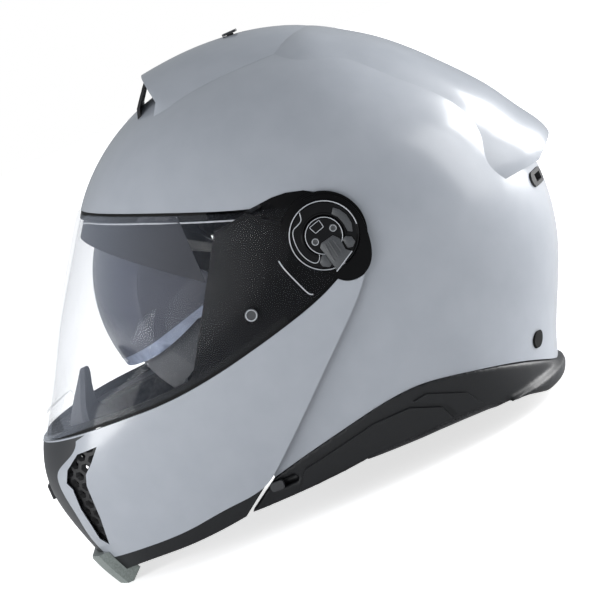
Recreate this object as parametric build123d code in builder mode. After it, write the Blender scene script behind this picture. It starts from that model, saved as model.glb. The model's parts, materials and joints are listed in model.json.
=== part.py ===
"""Modular motorcycle helmet: a flip-up chin bar, a clear visor, an inner sun visor and two vents.

Frame: millimetres, +Z up, the face looks along -X, the wearer's left is -Y.
The origin lies under the middle of the helmet, on the table that it stands on.
"""
from math import cos, hypot, radians, sin
import os

from build123d import *

os.makedirs("parts", exist_ok=True)

# Overall size
LENGTH = 355.0
HEIGHT = 266.0
COVER_HALF_WIDTH = 125.5
SHELL_HALF_WIDTH = 119.3
SPOILER_HALF_WIDTH = 104.0
VENT_HALF_WIDTH = 84.0
HEAD_HALF_WIDTH = 80.0
ROUNDNESS = 2.2
LAST_STATION_ANGLE = 84
STATION_ANGLE = 14

# Walls
SHELL_WALL = 3.6
COVER_WALL = 2.4
FRAME_WALL = 2.3
SKIN_GAP = 0.3
LINER_GAP = 0.5
TRIM_WALL = 6.0
TRIM_PROUD = 1.2
TRIM_FLARE = 6.5
COMM_COVER_WALL = 1.4
CHIN_FOAM_WALL = 18.0
GUARD_WALL = 3.5
VENT_WALL = 2.5
PAD_WALL = 9.0
CHEEK_WALL = 20.0
ROLL_WALL = 24.0

# Clearances and tool overrun
RUN_GAP = 0.06
PART_GAP = 0.3
SWING_GAP = 1.5
REACH = 260.0

# Main pivot of the chin bar and the visor
PIVOT_PIN_RADIUS = 5.0
PIVOT_PIN_CAP = 1.6
PIVOT_PLATE_RADIUS = 18.0
PIVOT_PLATE_WALL = 2.0
HUB_INNER_RADIUS = 11.2
HUB_RADIUS = 19.9
HUB_FLANGE = 1.6
HUB_FLANGE_WALL = 1.3
ARM_END_RADIUS = 24.5
LEVER_REACH = 22.0
LEVER_WALL = 2.0
RECESS_DEPTH = 1.2
RECESS_GAP = 0.5

# Sun visor
SUN_RADIUS = 84.5
SUN_HALF_WIDTH = 90.0
SUN_FULLNESS_SHARE = 0.80
SUN_WALL = 2.0
SUN_ARM_RADIUS = 8.0
SUN_PIN_RADIUS = 2.5
SUN_PIN_BOSS_RADIUS = 5.0
SUN_PIN_SETBACK = 7.5
SUN_LOW_ANGLE = -24
SUN_HIGH_ANGLE = 50
SUN_TRAVEL_ANGLE = 52
SUN_MARGIN_ANGLE = 4

# Seals
SEAL_WALL = 3.0
SEAL_HEIGHT = 5.0
GASKET_DROP = 2.0
GASKET_RISE = 3.0

# Chin strap
STRAP_WIDTH = 25.0
STRAP_WALL = 2.0
STRAP_BEND_RADIUS = 14.0
STRAP_REST = 16.0
STRAP_END = 38.0
STRAP_INSET = 3.5
RIVET_RADIUS = 4.0
RIVET_HEAD_RADIUS = 8.0
RIVET_HEAD_WALL = 1.5
BUCKLE_LENGTH = 28.0
BUCKLE_HEIGHT = 9.0
TONGUE_LENGTH = 26.0
TONGUE_WIDTH = 16.0
TONGUE_TEETH = 5
LEVER_PIN_RADIUS = 1.6
LEVER_EYE_RADIUS = 2.9
LEVER_ARM_HEIGHT = 2.2

# Latches of the chin bar
STRIKER_RADIUS = 3.0
STRIKER_PLATE_WALL = 2.5
STRIKER_HALF_HEIGHT = 8.0
HOOK_WALL = 4.0
HOOK_RADIUS = 6.5
HOOK_PIN_RADIUS = 2.5
HOOK_BOSS_RADIUS = 4.0
NOTCH_GAP = 0.8
BUTTON_HALF_WIDTH = 12.0
BUTTON_HALF_HEIGHT = 5.0
BUTTON_LENGTH = 10.0
BUTTON_PROUD = 4.0

# Vents
INTAKE_WIDTH = 9.0
INTAKE_LENGTH = 20.0
INTAKE_SPACING = 16.0
GRILLE_WALL = 2.0
GRILLE_SLOT = 3.0
GRILLE_PITCH = 6.0
GRILLE_BARS = 9
EXHAUST_BARS = 2
VENT_SLOT_HEIGHT = 9.0
VENT_MOUTH_SHARE = 0.40
SLIDER_LENGTH = 9.0
SLIDER_WIDTH = 12.0
SLIDER_HEIGHT = 3.0
TOP_SLIDER_HEIGHT = 1.2
CHIN_SLIDER_HEIGHT = 1.8
SLIDER_STEM = 4.0
TOP_VENT_TRAVEL = 8.0
CHIN_VENT_TRAVEL = 5.0
SUN_SLIDER_TRAVEL = 10.0
PLUG_RADIUS = 4.6
PLUG_PLACE = (61.0, 37.0)
EXHAUST_PLACE = (38.0, 121.0)
EXHAUST_WIDTH = 26.0
EXHAUST_HEIGHT = 9.0
EXHAUST_RIM = 2.0
HONEYCOMB_RADIUS = 3.0
HONEYCOMB_PITCH = 7.2
HONEYCOMB_COLUMNS = 8
HONEYCOMB_ROWS = 9
SUN_SLIDER_LATERAL = 102.4
SUN_SLIDER_TURN_ANGLE = -11
SUN_SLIDER_LENGTH = 8.0
SUN_SLIDER_WIDTH = 5.0
CENTRE_WALL = 1.2
LIP_REACH = 8.0
LIP_HALF_WIDTH = 60.0
LENS_PIN_RADIUS = 3.7
LENS_PIN_PROUD = 0.8
CURTAIN_HALF_WIDTH = 42.0
CURTAIN_REACH = 5.6
DEMIST_HALF_WIDTH = 44.0
GUARD_HALF_WIDTH = 56.0
GUARD_DEPTH = 10.0
GUARD_SHOULDER_SHARE = 0.80
GUARD_CREST_SHARE = 0.40


def place(shares):
    """Points in the side view, from shares of the length and the height."""
    return [(x * LENGTH, z * HEIGHT) for x, z in shares]


def raised(points, rise, ahead=0.0):
    """The same points, moved up and to the rear."""
    return [(x + ahead, z + rise) for x, z in points]


PIVOT = place([(0.101, 0.555)])[0]
SUN_AXIS = place([(-0.066, 0.525)])[0]
HEAD_CENTRE = place([(0.103, 0.489)])[0]

# Middle outlines in the side view; the lower ends run on below the rim and are cut off
COVER_OUTLINE = place([
    (-0.266, 0.786), (-0.199, 0.868), (-0.102, 0.936), (0.005, 0.966), (0.103, 0.962),
    (0.194, 0.940), (0.267, 0.887), (0.330, 0.812), (0.385, 0.737), (0.427, 0.658),
    (0.455, 0.564), (0.461, 0.476), (0.441, 0.293), (0.375, 0.099), (0.320, -0.075),
    (0.174, -0.263), (-0.108, -0.320), (-0.333, -0.188), (-0.446, 0.000), (-0.485, 0.143),
    (-0.497, 0.263), (-0.474, 0.357), (-0.440, 0.429), (-0.381, 0.564), (-0.305, 0.714)])
SHELL_OUTLINE = place([
    (-0.263, 0.782), (-0.199, 0.868), (-0.102, 0.936), (0.005, 0.962), (0.103, 0.959),
    (0.194, 0.936), (0.267, 0.883), (0.330, 0.808), (0.385, 0.729), (0.425, 0.654),
    (0.450, 0.564), (0.461, 0.476), (0.441, 0.293), (0.375, 0.099), (0.332, -0.075),
    (0.179, -0.320), (-0.080, -0.368), (-0.277, -0.233), (-0.412, 0.000), (-0.457, 0.143),
    (-0.463, 0.263), (-0.435, 0.357), (-0.406, 0.429), (-0.353, 0.564), (-0.288, 0.714)])
SPOILER_OUTLINE = place([
    (0.005, 0.827), (0.089, 0.940), (0.194, 0.957), (0.250, 0.918), (0.303, 0.868),
    (0.351, 0.808), (0.398, 0.738), (0.442, 0.663), (0.472, 0.597), (0.499, 0.530),
    (0.489, 0.451), (0.399, 0.376), (0.174, 0.376), (0.005, 0.526)])
VENT_OUTLINE = place([
    (-0.077, 1.001), (-0.032, 1.007), (0.013, 1.009), (0.064, 1.005), (0.114, 0.995),
    (0.160, 0.978), (0.195, 0.959), (0.219, 0.940), (0.276, 0.808), (0.174, 0.564),
    (0.005, 0.526), (-0.164, 0.639), (-0.181, 0.846), (-0.136, 0.944)])
HEAD_OUTLINE = place([
    (0.103, 0.797), (0.244, 0.763), (0.348, 0.647), (0.373, 0.489), (0.348, 0.320),
    (0.330, 0.150), (0.301, -0.150), (0.103, -0.300), (-0.108, -0.150), (-0.150, 0.150),
    (-0.170, 0.338), (-0.172, 0.489), (-0.136, 0.658), (-0.023, 0.771)])

# Seams in the side view
BROW_LINE = place([
    (-0.285, 0.797), (-0.257, 0.786), (-0.167, 0.748), (-0.080, 0.707), (0.002, 0.669), (0.044, 0.654)])
VISOR_LOWER = place([
    (-0.520, 0.357), (-0.477, 0.357), (-0.381, 0.365), (-0.294, 0.365), (-0.190, 0.372),
    (-0.080, 0.398), (-0.006, 0.421), (0.044, 0.440), (0.092, 0.466)])
REAR_SEAM = place([
    (-0.130, 0.124), (-0.054, 0.211), (0.025, 0.305), (0.053, 0.338), (0.106, 0.402), (0.140, 0.455)])
CHIN_BOTTOM = place([
    (-0.446, 0.064), (-0.381, 0.071), (-0.291, 0.079), (-0.218, 0.094), (-0.150, 0.109), (-0.130, 0.124)])
CHIN_TRIM_LOW = place([
    (-0.440, 0.026), (-0.392, 0.038), (-0.302, 0.045), (-0.249, 0.052), (-0.198, 0.062)])
CURTAIN_OUTLINE = place([
    (-0.474, 0.081), (-0.481, 0.061), (-0.472, 0.046), (-0.450, 0.000), (-0.424, 0.000), (-0.392, 0.038),
    (-0.440, 0.081)])
CAP_OUTLINE = place([
    (0.094, 0.640), (0.119, 0.637), (0.148, 0.613), (0.164, 0.574), (0.166, 0.524), (0.161, 0.489),
    (0.151, 0.463), (0.139, 0.450), (0.111, 0.446), (0.094, 0.460)])
SHELL_LOW = place([
    (-0.128, 0.117), (-0.083, 0.132), (0.010, 0.158), (0.101, 0.177), (0.148, 0.177),
    (0.196, 0.165), (0.255, 0.143), (0.317, 0.109), (0.365, 0.060)])
TRIM_LOW = place([
    (-0.188, 0.062), (-0.102, 0.064), (0.016, 0.075), (0.081, 0.083), (0.174, 0.075),
    (0.219, 0.070), (0.261, 0.050), (0.295, 0.030), (0.327, 0.000)])
PORT_EDGE = place([(-0.057, 0.650), (-0.114, 0.530), (-0.175, 0.402)])
WHITE_FRONT = place([
    (-0.387, 0.361), (-0.407, 0.346), (-0.441, 0.308), (-0.466, 0.282), (-0.470, 0.260),
    (-0.466, 0.184), (-0.463, 0.124), (-0.457, 0.094), (-0.446, 0.064)])


def inset_outline(points, centre, inset):
    """The outline with each point drawn towards the centre by the same length."""
    moved = []
    for x, z in points:
        reach = hypot(x - centre[0], z - centre[1])
        keep = (reach - inset) / reach
        moved.append((centre[0] + (x - centre[0]) * keep, centre[1] + (z - centre[1]) * keep))
    return moved


def form(outline, half_width, centre, inset=0.0):
    """Rounded body: the outline shrinks towards the centre line on both sides."""
    points = inset_outline(outline, centre, inset)
    reach = half_width - inset
    with BuildPart() as block:
        for angle in range(-LAST_STATION_ANGLE, LAST_STATION_ANGLE + 1, STATION_ANGLE):
            side = 1 if angle < 0 else -1
            lateral = side * reach * abs(sin(radians(angle))) ** (2 / ROUNDNESS)
            scale_share = cos(radians(angle)) ** (2 / ROUNDNESS)
            with BuildSketch(Plane.XZ.offset(lateral)):
                with BuildLine():
                    Spline(*[(centre[0] + (x - centre[0]) * scale_share,
                              centre[1] + (z - centre[1]) * scale_share) for x, z in points],
                           periodic=True)
                make_face()
        loft()
    return block.part


def cover_form(inset=0.0):
    return form(COVER_OUTLINE, COVER_HALF_WIDTH, PIVOT, inset)


def shell_form(inset=0.0):
    return form(SHELL_OUTLINE, SHELL_HALF_WIDTH, PIVOT, inset)


def head_form(inset=0.0):
    return form(HEAD_OUTLINE, HEAD_HALF_WIDTH, HEAD_CENTRE, inset)


def slab(*runs, low=-REACH, high=REACH):
    """Block whose side view is the loop of runs, from one lateral place to another."""
    with BuildPart() as block:
        with BuildSketch(Plane.XZ.offset(-high)):
            with BuildLine():
                for number, run in enumerate(runs):
                    following = runs[(number + 1) % len(runs)]
                    if len(run) > 2:
                        Spline(*run)
                    elif len(run) == 2:
                        Line(*run)
                    if run[-1] != following[0]:
                        Line(run[-1], following[0])
            make_face()
        extrude(amount=high - low)
    return block.part


def front_slab(*runs, low=-REACH, high=REACH):
    """Block whose front view, across and up, is the loop of runs."""
    with BuildPart() as block:
        with BuildSketch(Plane.YZ.offset(low)):
            with BuildLine():
                for number, run in enumerate(runs):
                    following = runs[(number + 1) % len(runs)]
                    if len(run) > 2:
                        Spline(*run)
                    elif len(run) == 2:
                        Line(*run)
                    if run[-1] != following[0]:
                        Line(run[-1], following[0])
            make_face()
        extrude(amount=high - low)
    return block.part


def rod(centre, radius, low, high):
    """Round bar along Y."""
    with BuildPart() as block:
        with BuildSketch(Plane.XZ.offset(-high)):
            with Locations(centre):
                Circle(radius)
        extrude(amount=high - low)
    return block.part


def side_range(side, inner, outer):
    """Lateral limits of a piece on one side, -1 for the wearer's left."""
    return (inner, outer) if side > 0 else (-outer, -inner)


def turned_block(grow, low_angle, high_angle, half_width):
    """Sector about the sun visor's axis, out to the sheet's outer surface grown by a length."""
    edge = []
    for reach_share in (0.0, 0.30, 0.60, 0.85, 1.0):
        radius = SUN_RADIUS * (1 - (SUN_FULLNESS_SHARE * reach_share) ** ROUNDNESS) ** (1 / ROUNDNESS)
        edge.append((reach_share * half_width, radius + grow))
    mirrored = [(-lateral, radius) for lateral, radius in reversed(edge[1:])]
    start = radians(low_angle)
    start_plane = Plane(origin=(SUN_AXIS[0], 0, SUN_AXIS[1]), x_dir=(0, 1, 0),
                        z_dir=(sin(start), 0, cos(start)))
    with BuildPart() as block:
        with BuildSketch(start_plane):
            with BuildLine():
                Spline(*(mirrored + edge))
                Polyline(edge[-1], (half_width, 0), (-half_width, 0), mirrored[0])
            make_face()
        revolve(axis=Axis((SUN_AXIS[0], 0, SUN_AXIS[1]), (0, 1, 0)),
                revolution_arc=high_angle - low_angle)
    return block.part


cover_0 = cover_form()
cover_wall_inside = cover_form(COVER_WALL)
frame_outside = cover_form(COVER_WALL + SKIN_GAP)
frame_inside = cover_form(COVER_WALL + SKIN_GAP + FRAME_WALL)
chin_foam_inside = cover_form(COVER_WALL + SKIN_GAP + CHIN_FOAM_WALL)
guard_inside = cover_form(COVER_WALL + SKIN_GAP + CHIN_FOAM_WALL + GUARD_WALL)
shell_0 = shell_form()
shell_inside = shell_form(SHELL_WALL)
trim_outside = shell_form(-TRIM_PROUD)
trim_inside = shell_form(TRIM_WALL)
head_0 = head_form()
SIDES = {"left": -1, "right": 1}
FAR_BELOW = (-LENGTH, -LENGTH)
front_and_below = slab([(-LENGTH, BROW_LINE[0][1])], BROW_LINE, PORT_EDGE, [REAR_SEAM[0]],
                       [(SHELL_LOW[0][0], -LENGTH)], [FAR_BELOW])
below_rim = slab(SHELL_LOW, [(LENGTH, SHELL_LOW[-1][1])], [(LENGTH, -LENGTH)], [FAR_BELOW],
                 [(-LENGTH, SHELL_LOW[0][1])])

# Outer shell with the spoiler, cut by the eye port and the lower rim
spoiler_floor, spoiler_tip = place([(0.462, 0.490), (0.505, 0.530)])
spoiler_room = slab([(-LENGTH, spoiler_floor[1])], [spoiler_floor], [spoiler_tip], [(LENGTH, spoiler_tip[1])],
                    [(LENGTH, LENGTH)], [(-LENGTH, LENGTH)])
with BuildPart() as spoiler:
    add(form(SPOILER_OUTLINE, SPOILER_HALF_WIDTH, PIVOT))
    add(spoiler_room, mode=Mode.INTERSECT)
intake_x = place([(-0.010, 0.960)])[0][0]
recess_floor = SHELL_HALF_WIDTH - RECESS_DEPTH
with BuildPart() as outer_shell:
    add(shell_0)
    add(spoiler.part)
    add(shell_inside, mode=Mode.SUBTRACT)
    add(front_and_below, mode=Mode.SUBTRACT)
    add(below_rim, mode=Mode.SUBTRACT)
    with BuildSketch(Plane.XY.offset(PIVOT[1])):
        with Locations((intake_x, -INTAKE_SPACING), (intake_x, 0), (intake_x, INTAKE_SPACING)):
            SlotOverall(INTAKE_LENGTH, INTAKE_WIDTH)
    extrude(amount=HEIGHT, mode=Mode.SUBTRACT)
    for side in SIDES.values():
        add(rod(PIVOT, PIVOT_PIN_RADIUS, *side_range(side, SHELL_HALF_WIDTH / 2, REACH)), mode=Mode.SUBTRACT)
        add(rod(PIVOT, ARM_END_RADIUS + SWING_GAP, *side_range(side, recess_floor, REACH)),
            mode=Mode.SUBTRACT)
    with BuildSketch(Plane.YZ.offset(PIVOT[0])):
        with Locations(*[(side * PLUG_PLACE[0], PLUG_PLACE[1]) for side in SIDES.values()]):
            Circle(PLUG_RADIUS)
        with Locations(*[(side * EXHAUST_PLACE[0], EXHAUST_PLACE[1]) for side in SIDES.values()]):
            SlotOverall(EXHAUST_WIDTH, EXHAUST_HEIGHT)
    extrude(amount=REACH, mode=Mode.SUBTRACT)
outer_shell.part.label = "outer_shell"
export_step(outer_shell.part, "parts/outer_shell.step")

# Rubber plugs and exhaust grilles at the back
with BuildPart() as rear_plugs:
    add(trim_outside)
    add(shell_inside, mode=Mode.SUBTRACT)
    with BuildSketch(Plane.YZ.offset(PIVOT[0])):
        with Locations(*[(side * PLUG_PLACE[0], PLUG_PLACE[1]) for side in SIDES.values()]):
            Circle(PLUG_RADIUS)
    extrude(amount=REACH, mode=Mode.INTERSECT)
rear_plugs.part.label = "rear_plugs"
export_step(rear_plugs.part, "parts/rear_plugs.step")

for name, side in SIDES.items():
    with BuildPart() as exhaust_grille:
        add(trim_outside)
        add(shell_inside, mode=Mode.SUBTRACT)
        with BuildSketch(Plane.YZ.offset(PIVOT[0])):
            with Locations((side * EXHAUST_PLACE[0], EXHAUST_PLACE[1])):
                SlotOverall(EXHAUST_WIDTH, EXHAUST_HEIGHT)
                Rectangle(EXHAUST_WIDTH / 2, GRILLE_SLOT / 2, mode=Mode.SUBTRACT)
                with GridLocations(0, GRILLE_SLOT, 1, EXHAUST_BARS):
                    Rectangle(EXHAUST_WIDTH / 2, GRILLE_SLOT / 2, mode=Mode.SUBTRACT)
        extrude(amount=REACH, mode=Mode.INTERSECT)
    exhaust_grille.part.label = "exhaust_grille_" + name
    export_step(exhaust_grille.part, "parts/exhaust_grille_" + name + ".step")

# Sun visor: a turned sheet with an arm on each side
sun_low_edge = place([(-0.330, 0.432), (-0.270, 0.440), (-0.205, 0.458), (-0.140, 0.490)])
sun_top = place([(-0.170, 0.790)])[0]
with BuildPart() as sun_visor:
    add(turned_block(0, SUN_LOW_ANGLE, SUN_HIGH_ANGLE, SUN_HALF_WIDTH))
    add(turned_block(-SUN_WALL, SUN_LOW_ANGLE - SUN_MARGIN_ANGLE, SUN_HIGH_ANGLE + SUN_MARGIN_ANGLE,
                     SUN_HALF_WIDTH - SUN_WALL), mode=Mode.SUBTRACT)
    add(slab(sun_low_edge, [(SUN_AXIS[0], SUN_AXIS[1] - SUN_ARM_RADIUS)],
             [(SUN_AXIS[0], SUN_AXIS[1] + SUN_ARM_RADIUS)], [sun_top], [(-LENGTH, sun_top[1])],
             [(-LENGTH, sun_low_edge[0][1])]), mode=Mode.INTERSECT)
    for side in SIDES.values():
        add(rod(SUN_AXIS, SUN_ARM_RADIUS, *side_range(side, SUN_HALF_WIDTH - SUN_WALL, SUN_HALF_WIDTH)))
    add(rod(SUN_AXIS, SUN_PIN_RADIUS + RUN_GAP, -REACH, REACH), mode=Mode.SUBTRACT)
sun_visor.part.label = "sun_visor"
export_step(sun_visor.part, "parts/sun_visor.step")

sun_pocket_end = SUN_HIGH_ANGLE + SUN_TRAVEL_ANGLE + SUN_MARGIN_ANGLE
with BuildPart() as sun_pocket:
    add(turned_block(SWING_GAP, SUN_LOW_ANGLE, sun_pocket_end, SUN_HALF_WIDTH + SWING_GAP))
    add(turned_block(-SUN_WALL - SWING_GAP, SUN_LOW_ANGLE - SUN_MARGIN_ANGLE,
                     sun_pocket_end + SUN_MARGIN_ANGLE, SUN_HALF_WIDTH - SUN_WALL - SWING_GAP),
        mode=Mode.SUBTRACT)
    for side in SIDES.values():
        add(rod(SUN_AXIS, SUN_ARM_RADIUS + SWING_GAP,
                *side_range(side, SUN_HALF_WIDTH - SUN_WALL - SWING_GAP, SUN_HALF_WIDTH + SWING_GAP)))

sun_pin_end = SHELL_HALF_WIDTH - SHELL_WALL - SUN_PIN_SETBACK
with BuildPart() as sun_visor_pins:
    for side in SIDES.values():
        add(rod(SUN_AXIS, SUN_PIN_RADIUS, *side_range(side, SUN_HALF_WIDTH - SUN_WALL, sun_pin_end)))
        add(rod(SUN_AXIS, SUN_PIN_BOSS_RADIUS,
                *side_range(side, SUN_HALF_WIDTH + PART_GAP, sun_pin_end)))
sun_visor_pins.part.label = "sun_visor_pins"
export_step(sun_visor_pins.part, "parts/sun_visor_pins.step")

# Foam liner, with the sun visor's pocket, strap slots and pockets for the fittings
strap_place = place([(0.050, 0.290)])[0]
strap_slot_half = STRAP_WIDTH / 2 + SWING_GAP
strap_outer = HEAD_HALF_WIDTH + STRAP_INSET
strap_room = [(strap_place[0] - strap_slot_half, -LENGTH), (strap_place[0] + strap_slot_half, -LENGTH),
              (strap_place[0] + strap_slot_half, strap_place[1] + strap_slot_half),
              (strap_place[0] - strap_slot_half, strap_place[1] + strap_slot_half)]
plate_inner = SHELL_HALF_WIDTH - SHELL_WALL - PIVOT_PLATE_WALL - SWING_GAP
striker_place, striker_end = place([(-0.187, 0.173), (-0.050, 0.173)])
striker_low = HEAD_HALF_WIDTH + STRAP_WALL
striker_high = striker_low + HOOK_WALL * 2
striker_plate_high = striker_high + STRIKER_PLATE_WALL
striker_outline = [[(striker_place[0] - STRIKER_RADIUS, striker_place[1] - STRIKER_HALF_HEIGHT)],
                   [(striker_end[0], striker_place[1] - STRIKER_HALF_HEIGHT)],
                   [(striker_end[0], striker_place[1] + STRIKER_HALF_HEIGHT)],
                   [(striker_place[0] - STRIKER_RADIUS, striker_place[1] + STRIKER_HALF_HEIGHT)]]
with BuildPart() as foam_liner:
    add(shell_form(SHELL_WALL + LINER_GAP))
    add(head_0, mode=Mode.SUBTRACT)
    add(front_and_below, mode=Mode.SUBTRACT)
    add(below_rim, mode=Mode.SUBTRACT)
    add(sun_pocket.part, mode=Mode.SUBTRACT)
    for side in SIDES.values():
        room_low, room_high = side_range(side, 0, strap_outer + STRAP_WALL)
        add(slab(*[[point] for point in strap_room], low=room_low, high=room_high), mode=Mode.SUBTRACT)
        add(rod(strap_place, RIVET_RADIUS, *side_range(side, HEAD_HALF_WIDTH / 2, REACH)),
            mode=Mode.SUBTRACT)
        plate_low, plate_high = side_range(side, striker_high, striker_plate_high)
        add(slab(*striker_outline, low=plate_low, high=plate_high), mode=Mode.SUBTRACT)
        add(rod(SUN_AXIS, SUN_PIN_BOSS_RADIUS, *side_range(side, SUN_HALF_WIDTH, REACH)), mode=Mode.SUBTRACT)
        add(rod(PIVOT, PIVOT_PLATE_RADIUS + SWING_GAP, *side_range(side, plate_inner, REACH)),
            mode=Mode.SUBTRACT)
foam_liner.part.label = "foam_liner"
export_step(foam_liner.part, "parts/foam_liner.step")

# Rivets that hold the strap, plates and pins of the pivots
rivet_end = SHELL_HALF_WIDTH - SHELL_WALL * 3
with BuildPart() as strap_rivets:
    for side in SIDES.values():
        add(rod(strap_place, RIVET_RADIUS, *side_range(side, strap_outer - STRAP_WALL, rivet_end)))
        add(rod(strap_place, RIVET_HEAD_RADIUS,
                *side_range(side, strap_outer - STRAP_WALL - RIVET_HEAD_WALL, strap_outer - STRAP_WALL)))
strap_rivets.part.label = "strap_rivets"
export_step(strap_rivets.part, "parts/strap_rivets.step")

pin_end = COVER_HALF_WIDTH - COVER_WALL / 2
plate_outer = SHELL_HALF_WIDTH - SHELL_WALL - SWING_GAP
with BuildPart() as pivot_plates:
    for side in SIDES.values():
        add(rod(PIVOT, PIVOT_PLATE_RADIUS, *side_range(side, plate_outer - PIVOT_PLATE_WALL, plate_outer)))
    add(rod(PIVOT, PIVOT_PIN_RADIUS, -REACH, REACH), mode=Mode.SUBTRACT)
pivot_plates.part.label = "pivot_plates"
export_step(pivot_plates.part, "parts/pivot_plates.step")

with BuildPart() as pivot_pins:
    for side in SIDES.values():
        add(rod(PIVOT, PIVOT_PIN_RADIUS, *side_range(side, plate_outer - PIVOT_PLATE_WALL, pin_end)))
pivot_pins.part.label = "pivot_pins"
export_step(pivot_pins.part, "parts/pivot_pins.step")

# Trim around the lower rim, flared at the back, with the intercom covers on its sides
trim_lowest = TRIM_LOW[-1][1]
flare_start = TRIM_LOW[-3:]
with BuildPart() as trim_flare:
    add(shell_form(-TRIM_FLARE))
    add(trim_inside, mode=Mode.SUBTRACT)
    add(slab(*[[point] for point in flare_start], [(LENGTH, flare_start[-1][1])],
             [(LENGTH, flare_start[0][1])]), mode=Mode.INTERSECT)
sun_slider_place = place([(-0.130, 0.099)])[0]
slide_turn = SUN_SLIDER_TURN_ANGLE
slide_plane = Plane(origin=(sun_slider_place[0], -SUN_SLIDER_LATERAL, sun_slider_place[1]),
                    x_dir=(cos(radians(slide_turn)), sin(radians(slide_turn)), 0),
                    z_dir=(sin(radians(slide_turn)), -cos(radians(slide_turn)), 0))
with BuildPart() as sun_slider_slot:
    with BuildSketch(slide_plane.offset(SWING_GAP)):
        with Locations((SUN_SLIDER_TRAVEL / 2, 0)):
            Rectangle(SUN_SLIDER_TRAVEL + SLIDER_STEM + PART_GAP * 2, SLIDER_STEM + PART_GAP * 2)
    extrude(amount=-TRIM_WALL - SWING_GAP)
with BuildPart() as base_trim:
    add(trim_outside)
    add(trim_inside, mode=Mode.SUBTRACT)
    add(slab(SHELL_LOW, [(LENGTH, SHELL_LOW[-1][1])], [(LENGTH, trim_lowest)], list(reversed(TRIM_LOW))),
        mode=Mode.INTERSECT)
    add(trim_flare.part)
    add(sun_slider_slot.part, mode=Mode.SUBTRACT)
base_trim.part.label = "base_trim"
export_step(base_trim.part, "parts/base_trim.step")

comm_outline = place([(-0.080, 0.108), (-0.032, 0.120), (0.050, 0.141), (0.112, 0.141), (0.160, 0.113),
                      (0.170, 0.080), (0.016, 0.080), (-0.102, 0.069)])
rear_cover_outline = place([(0.122, 0.150), (0.146, 0.154), (0.205, 0.118), (0.222, 0.080), (0.178, 0.083),
                            (0.168, 0.116)])
comm_outside = shell_form(-TRIM_PROUD - COMM_COVER_WALL)
for name, side in SIDES.items():
    with BuildPart() as intercom_cover:
        add(comm_outside)
        add(trim_outside, mode=Mode.SUBTRACT)
        add(slab(*[[point] for point in comm_outline], low=side_range(side, 0, REACH)[0],
                 high=side_range(side, 0, REACH)[1]), mode=Mode.INTERSECT)
    intercom_cover.part.label = "intercom_cover_" + name
    export_step(intercom_cover.part, "parts/intercom_cover_" + name + ".step")
    with BuildPart() as rim_cover:
        add(comm_outside)
        add(trim_outside, mode=Mode.SUBTRACT)
        add(slab(*[[point] for point in rear_cover_outline], low=side_range(side, 0, REACH)[0],
                 high=side_range(side, 0, REACH)[1]), mode=Mode.INTERSECT)
    rim_cover.part.label = "rim_cover_" + name
    export_step(rim_cover.part, "parts/rim_cover_" + name + ".step")

with BuildPart() as sun_visor_slider:
    with BuildSketch(slide_plane.offset(PART_GAP)):
        RectangleRounded(SUN_SLIDER_LENGTH, SUN_SLIDER_WIDTH, SLIDER_HEIGHT / 2)
    extrude(amount=SLIDER_HEIGHT)
    with BuildSketch(slide_plane.offset(PART_GAP)):
        Rectangle(SLIDER_STEM, SLIDER_STEM)
    extrude(amount=-SLIDER_STEM)
sun_visor_slider.part.label = "sun_visor_slider"
export_step(sun_visor_slider.part, "parts/sun_visor_slider.step")

# Brow seal under the shell's front edge
with BuildPart() as brow_seal:
    add(shell_form(LINER_GAP))
    add(shell_form(LINER_GAP + SEAL_WALL), mode=Mode.SUBTRACT)
    add(slab(raised(BROW_LINE[:-1], -PART_GAP), list(reversed(raised(BROW_LINE[:-1], -SEAL_HEIGHT)))),
        mode=Mode.INTERSECT)
    add(slab([(PORT_EDGE[0][0], -LENGTH)], [(PORT_EDGE[0][0], LENGTH)], [(LENGTH, LENGTH)],
             [(LENGTH, -LENGTH)]), mode=Mode.SUBTRACT)
brow_seal.part.label = "brow_seal"
export_step(brow_seal.part, "parts/brow_seal.step")

# Top vent: a hood with a mouth, a grille in the mouth and a slider in a slot
vent_form_outside = form(VENT_OUTLINE, VENT_HALF_WIDTH, PIVOT)
vent_form_inside = form(VENT_OUTLINE, VENT_HALF_WIDTH, PIVOT, VENT_WALL)
vent_front = place([(-0.080, 1.030), (-0.078, 0.996), (-0.068, 0.940), (-0.094, 0.883), (-0.100, 0.800)])
vent_front_room = slab([(-LENGTH, vent_front[0][1])], *[[point] for point in vent_front],
                       [(-LENGTH, vent_front[-1][1])])
vent_mouth_half = VENT_HALF_WIDTH * VENT_MOUTH_SHARE
vent_cavity_rear = place([(0.110, 0.960)])[0][0]
slider_x, slider_floor = place([(0.083, 1.005)])[0]
with BuildPart() as top_vent_hood:
    add(vent_form_outside)
    add(shell_0, mode=Mode.SUBTRACT)
    add(spoiler.part, mode=Mode.SUBTRACT)
    add(vent_front_room, mode=Mode.SUBTRACT)
    add(slab([(vent_front[-1][0], PIVOT[1])], [(LENGTH, PIVOT[1])], [(LENGTH, LENGTH)],
             [(vent_front[-1][0], LENGTH)]), mode=Mode.INTERSECT)
with BuildPart() as vent_cavity:
    add(vent_form_inside)
    add(slab([(-LENGTH, PIVOT[1])], [(vent_cavity_rear, PIVOT[1])], [(vent_cavity_rear, LENGTH)],
             [(-LENGTH, LENGTH)], low=-vent_mouth_half, high=vent_mouth_half), mode=Mode.INTERSECT)
with BuildPart() as top_vent_cover:
    add(top_vent_hood.part.solids().sort_by(SortBy.VOLUME)[-1])
    add(vent_cavity.part, mode=Mode.SUBTRACT)
    with BuildSketch(Plane.XY.offset(PIVOT[1])):
        with Locations((slider_x + TOP_VENT_TRAVEL / 2, 0)):
            Rectangle(SLIDER_STEM + TOP_VENT_TRAVEL + PART_GAP * 2, SLIDER_STEM + PART_GAP * 2)
    extrude(amount=LENGTH, mode=Mode.SUBTRACT)
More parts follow.
